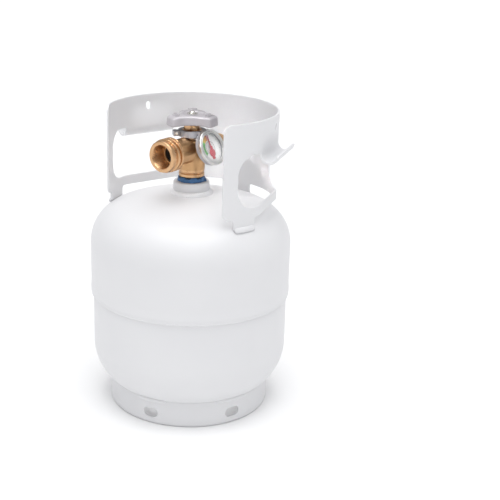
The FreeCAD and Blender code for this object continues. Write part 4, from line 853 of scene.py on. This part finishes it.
def raised_bar(x, y, length, width, turn, z, high=1.1):
    """A small raised bar with sloped sides, its ends rounded, as a grid over a flat oval."""
    t = np.linspace(0, 2 * np.pi, 25)[:-1]
    px, py = np.cos(t), np.sin(t)
    px = np.sign(px) * np.abs(px) ** 0.6 * width / 2 + np.sign(px) * (length - width) / 2
    py = py * width / 2
    rows = []
    for k, h in ((1.25, -0.4), (1.1, 0.0), (0.95, 0.8), (0.8, 1.0), (0.001, 1.0)):
        shrink = 1 - (1 - k) * width / length
        rows.append(np.stack([px * shrink, py * k, 0 * t + z + h * high], 1))
    rows.insert(0, np.stack([px * 0.001, py * 0.001, 0 * t + z - 0.4 * high], 1))
    grid = np.stack(rows)
    c, s = math.cos(turn), math.sin(turn)
    gx, gy = grid[..., 0].copy(), grid[..., 1].copy()
    grid[..., 0], grid[..., 1] = x + gx * c - gy * s, y + gx * s + gy * c
    return patch(grid, wrap_cols=True)


def wheel_marks():
    """Raised marks: a bar and short strokes on each lobe, and a ring of strokes round the dish."""
    top, out = WHEEL_Z + WHEEL_H, []
    for lobe in range(3):
        mid = math.radians(WHEEL_BEARING + 120 * lobe)
        strokes = [(17.4, off, 2.6, 1.0, lean)
                   for off, lean in ((-3.9, 1.1), (-1.3, 1.9), (1.3, 1.1), (3.9, 1.9))]
        for r, off, length, width, lean in [(20.6, 0.0, 8.0, 1.2, 0.0)] + strokes:
            x = r * math.sin(mid) + off * math.cos(mid)
            y = -r * math.cos(mid) + off * math.sin(mid)
            z = top + 0.12 - 0.75 * ((r - 10.2) / 13.0) ** 2
            z -= WHEEL_DROOP * ((r - 12.0) / 13.5) ** 2
            out.append(raised_bar(x, y, length, width, mid + lean, z))
        for step in np.arange(-34, 35, 8.5):
            b = mid + math.radians(60 + step)
            out.append(raised_bar(12.3 * math.sin(b), -12.3 * math.cos(b), 1.9, 0.7,
                                  b + math.radians(90), top + 0.1, 0.45))
    return out


piece("handwheel_casting", [wheel_skin()] + wheel_marks(), enamel,
      "wheel", "grey_zinc", "handwheel")


def plated(name, tone, rough):
    """Zinc-plated steel: bright, slightly milky."""
    finish, tree, at = blank(name)
    cloud = add(tree, "ShaderNodeTexNoise", {"Scale": 400.0, "Detail": 4.0}, {"Vector": at})
    colour = add(tree, "ShaderNodeMix", {"data_type": "RGBA", "A": linear(tone),
                                         "B": linear("#e8e6e0")}, {"Factor": cloud.outputs[0]})
    gloss = add(tree, "ShaderNodeMapRange", {"To Min": rough, "To Max": rough + 0.12},
                {"Value": cloud.outputs[0]})
    finish_with(tree, {"Metallic": 1.0}, {"Base Color": colour.outputs["Result"],
                                          "Roughness": gloss.outputs[0]})
    return finish


zinc_plate = plated("zinc_plated_steel", "#c9c7bf", 0.2)
wire = plated("stainless_spring_wire", "#b9b9bb", 0.25)


def screw_head():
    """A domed pan head; inside the cross the height drops to the recess floor."""
    z0 = WHEEL_Z + WHEEL_H
    a = np.linspace(0, 2 * np.pi, 145)[:-1][None, :]
    r = np.linspace(0.02, 3.3, 34)[:, None]
    x, y = r * np.cos(a), r * np.sin(a)
    arm = np.minimum(np.abs(x), np.abs(y))
    cross = smooth((0.55 - arm) / 0.25) * smooth((2.2 - r) / 0.4)
    z = z0 + 2.2 - 0.16 * r ** 2 * (r / 3.3) ** 2 - 1.1 * cross
    b = a + math.radians(WHEEL_BEARING)
    top = np.stack([r * np.sin(b), -r * np.cos(b), z], axis=-1)
    side = np.array([[3.4, z0 + 0.2], [3.3, z0 + 0.01], [2.0, z0 + 0.01], [2.0, z0 - 8.5],
                     [1.6, z0 - 9.0], [0.02, z0 - 9.0]])
    reach, height = side[:, :1], side[:, 1:]
    low = np.stack([reach * np.sin(b), -reach * np.cos(b), height + 0 * b], axis=-1)
    return patch(np.concatenate([top, low]), wrap_cols=True)


WASHER_Z = WHEEL_Z + WHEEL_H - 0.8
piece("wheel_pan_screw", [screw_head()], zinc_plate, "wheel", "plated_steel", "wheel_screw")
piece("wheel_flat_washer",
      [turned(rounded([(2.2, WASHER_Z, 0), (5.3, WASHER_Z, 0.15), (5.3, WASHER_Z + 0.8, 0.3),
                       (2.2, WASHER_Z + 0.8, 0), (2.2, WASHER_Z, 0)]), 96)],
      zinc_plate, "wheel", "plated_steel", "wheel_washer")

# ---------------------------------------------------------------- gauge
# Zinc cup with a plated bezel, a clear window, a printed dial in three colours and a red
# pointer on an arbor.  A split grey bracket clamps it to the valve's neck.
GAUGE_Z, GAUGE_TILT = FACE_Z + 26.0, math.radians(25)
GAUGE_BACK, GAUGE_FACE = 20.0, 29.6
CASE_R, BEZEL_R, LENS_R, DIAL_R = 17.2, 18.2, 16.7, 15.6
LENS_BACK = GAUGE_FACE - 2.2
DIAL_FACE = GAUGE_FACE - 4.0
LOOKS = (math.cos(GAUGE_TILT), 0, math.sin(GAUGE_TILT))
DIAL_UP = (-math.sin(GAUGE_TILT), 0, math.cos(GAUGE_TILT))


def on_gauge(patch_in):
    """Puts a patch built along +Z on the gauge's axis: local X to the dial's right, Y up."""
    return aimed(patch_in, LOOKS, GAUGE_Z, DIAL_UP)


def gauge_disc(corners, steps):
    """A rounded outline turned on the gauge's axis."""
    return on_gauge(turned(rounded(corners), steps))


G = GAUGE_BACK
piece("gauge_cup",
      [gauge_disc([(4.1, G, 0), (15.2, G, 0.8), (CASE_R, G + 1.6, 1.4), (CASE_R, LENS_BACK, 0.2),
                   (15.9, LENS_BACK, 0.2), (15.9, G + 1.4, 0.4), (4.1, G + 1.3, 0),
                   (4.1, G, 0)], 160)],
      case_enamel, "tank", "grey_zinc", "gauge_case")
F = GAUGE_FACE
satin_ring = plated("satin_plated_ring", "#c4c6c9", 0.3)
piece("gauge_bezel_ring",
      [gauge_disc([(17.25, F - 3.75, 0), (17.9, F - 3.75, 0.25), (BEZEL_R, F - 3.0, 0.4),
                   (BEZEL_R, F - 1.0, 0.8), (17.6, F, 0.6), (16.4, F - 0.05, 0.4),
                   (16.0, F - 0.8, 0.2), (15.5, F - 0.35, 0.3), (14.6, F - 0.45, 0.3),
                   (14.25, F - 1.2, 0), (LENS_R, F - 1.25, 0), (16.75, F - 2.2, 0),
                   (17.25, F - 2.25, 0), (17.25, F - 3.75, 0)], 192)],
      satin_ring, "tank", "bezel_chrome", "gauge_bezel")


def clear_plastic():
    """Moulded clear polycarbonate, seen as a faint gloss over the dial."""
    finish, tree, at = blank("clear_polycarbonate")
    film = add(tree, "ShaderNodeTexNoise", {"Scale": 60.0, "Detail": 2.0}, {"Vector": at})
    gloss = add(tree, "ShaderNodeMapRange", {"To Min": 0.03, "To Max": 0.08},
                {"Value": film.outputs[0]})
    finish_with(tree, {"Base Color": linear("#f4f8fa"), "Alpha": 0.07, "IOR": 1.45},
                {"Roughness": gloss.outputs[0]})
    return finish


piece("gauge_window",
      [gauge_disc([(0, F - 2.18, 0), (LENS_R, F - 2.18, 0.2), (LENS_R, F - 1.3, 0.2),
                   (0, F - 1.22, 0)], 96)],
      clear_plastic(), "tank", "lens_clear", "gauge_lens")


def printed(name, tone, gloss=0.4):
    """Screen-printed ink on aluminium: flat, with a faint grain."""
    finish, tree, at = blank(name)
    grain = add(tree, "ShaderNodeTexNoise", {"Scale": 1500.0, "Detail": 2.0}, {"Vector": at})
    dark = "#%02x%02x%02x" % tuple(int(int(tone[k:k + 2], 16) * 0.95) for k in (1, 3, 5))
    colour = add(tree, "ShaderNodeMix", {"data_type": "RGBA", "A": linear(dark),
                                         "B": linear(tone)}, {"Factor": grain.outputs[0]})
    finish_with(tree, {"Roughness": gloss}, {"Base Color": colour.outputs["Result"]})
    return finish


def closed_arc(inner, outer, start, stop, z, high=0.06, steps=40):
    """A thin printed sector, its ends closed; clock angles in degrees clockwise from the top."""
    a = np.radians(np.linspace(start, stop, steps))[None, :]
    r = np.array([inner, inner, outer, outer])[:, None]
    h = np.array([z - 0.02, z + high, z + high, z - 0.02])[:, None]
    grid = np.stack([r * np.sin(a), r * np.cos(a), h + 0 * a], axis=-1)
    points, quads = patch(grid, wrap_rows=True)
    first = steps * np.arange(4)
    return points, np.concatenate([quads, [first, first + steps - 1]])


D = DIAL_FACE
piece("dial_plate",
      [gauge_disc([(1.0, D - 0.6, 0), (DIAL_R, D - 0.6, 0.1), (DIAL_R, D, 0.1), (1.0, D, 0),
                   (1.0, D - 0.6, 0)], 128)],
      printed("dial_white_ink", "#f3f3f1"), "tank", "dial_white", "gauge_dial")
for hue, tone, start, stop in (("green", "#4fb04a", -128, -50), ("yellow", "#ecd04a", -50, -32),
                               ("orange", "#e9a648", -32, -12), ("red", "#dd5a66", -12, -4)):
    piece("dial_%s_arc" % hue, [on_gauge(closed_arc(7.6, 13.0, start, stop, D))],
          printed("dial_%s_ink" % hue, tone), "tank", "dial_white")
ticks = [closed_arc(13.2, 13.8 if k % 2 else 14.1, -134 + 19.5 * k - 0.8, -134 + 19.5 * k + 0.8,
                    D, steps=4) for k in range(15)]
ticks += [closed_arc(6.2, 6.5, -134, 139, D, steps=60)]
piece("dial_ticks", [on_gauge(t) for t in ticks], printed("dial_black_ink", "#3a3a3d"),
      "tank", "dial_white")


def pointer():
    """A flat tapered blade with a round counterweight and a broad tail, thickness 0.6 mm."""
    z, tail, tip = D + 0.4, 11.5, 12.6
    t = np.linspace(0, 1, 120)
    y = -tail + (tail + tip) * t
    half = np.where(y < 0, 0.95 + 0.95 * (-y / tail), 0.95 - 0.65 * y / tip)
    disc = np.sqrt(np.maximum(4.2 ** 2 - (y + 5.2) ** 2, 0))
    half = np.maximum(half, disc)
    x = np.stack([-half, -half, -half * 0.85, half * 0.85, half, half], 0)
    h = np.array([z, z + 0.35, z + 0.6, z + 0.6, z + 0.35, z])[:, None]
    grid = np.stack([x, 0 * x + y, h + 0 * x], axis=-1)
    points, quads = patch(grid, wrap_rows=True)
    end = len(t) * np.array([[0, 1, 4, 5], [1, 2, 3, 4]])
    return points, np.concatenate([quads, end, end + len(t) - 1])


red_lacquer = printed("red_lacquer", "#c62b3f", 0.3)
piece("pointer_blade", [on_gauge(pointer())], red_lacquer, "pointer", "needle_red",
      "gauge_needle")
piece("pointer_cap",
      [gauge_disc([(0, D + 0.9, 0), (2.0, D + 0.9, 0.2), (1.7, D + 1.4, 0.3),
                   (0, D + 1.5, 0)], 64)],
      red_lacquer, "pointer", "needle_red")

# ---------------------------------------------------------------- relief valve
# Turned brass housing, hexagon behind, with its spring and vented plug inside the open end.
piece("relief_housing",
      [aimed(turned(rounded([(5.2, 21.0, 0), (5.2, 46.4, 0.1), (5.7, 47.0, 0.2), (6.7, 47.0, 0.3),
                             (7.3, 46.3, 0.4), (7.3, 22.0, 0.2), (6.9, 21.4, 0.1), (6.9, 20.6, 0),
                             (3.0, 20.6, 0), (3.0, 21.0, 0), (5.2, 21.0, 0)]), 128),
             BACK, OUTLET_Z),
       aimed(hexagon(16.0, [(3.0, 17.02), (8.0, 17.02), (9.24, 17.7), (9.24, 20.2), (8.3, 20.9),
                            (7.0, 21.0), (3.0, 21.0), (3.0, 17.02)]), BACK, OUTLET_Z)],
      outlet_brass, "tank", "valve_brass", "relief_body")

# ---------------------------------------------------------------- what stays as the frame has it
# Small turned, moulded and sprung parts inside the valve and the vessel keep the frame's
# shape, each with the finish of its real material.
rubber = moulded("black_nitrile_rubber", "#131313", "#232323", 1.2, 0.6)
nylon = moulded("natural_nylon", "#d8d4c4", "#ebe7da", 2.0, 0.35)
foam = moulded("closed_cell_foam", "#1e1e20", "#323235", 0.8, 0.85, 0.0004)
kept = {
    inner_brass: ("stem", "lower_spindle", "gauge_arbor", "bourdon_tube", "gauge_stem",
                  "check_retainer", "check_poppet", "relief_poppet", "relief_cap",
                  "bleeder_screw", "dip_tube"),
    base_brass: ("stop_body", "float_arm", "stop_piston"),
    rubber: ("stem_seals", "outlet_seal", "relief_disc", "piston_seal"),
    nylon: ("seat_disc",), foam: ("float_block",), case_enamel: ("gauge_bracket",),
    zinc_plate: ("clamp_screw", "pivot_pin"), wire: ("check_spring", "relief_spring")}
for finish, names in kept.items():
    for name in names:
        cad[name].data.materials.clear()
        cad[name].data.materials.append(finish)
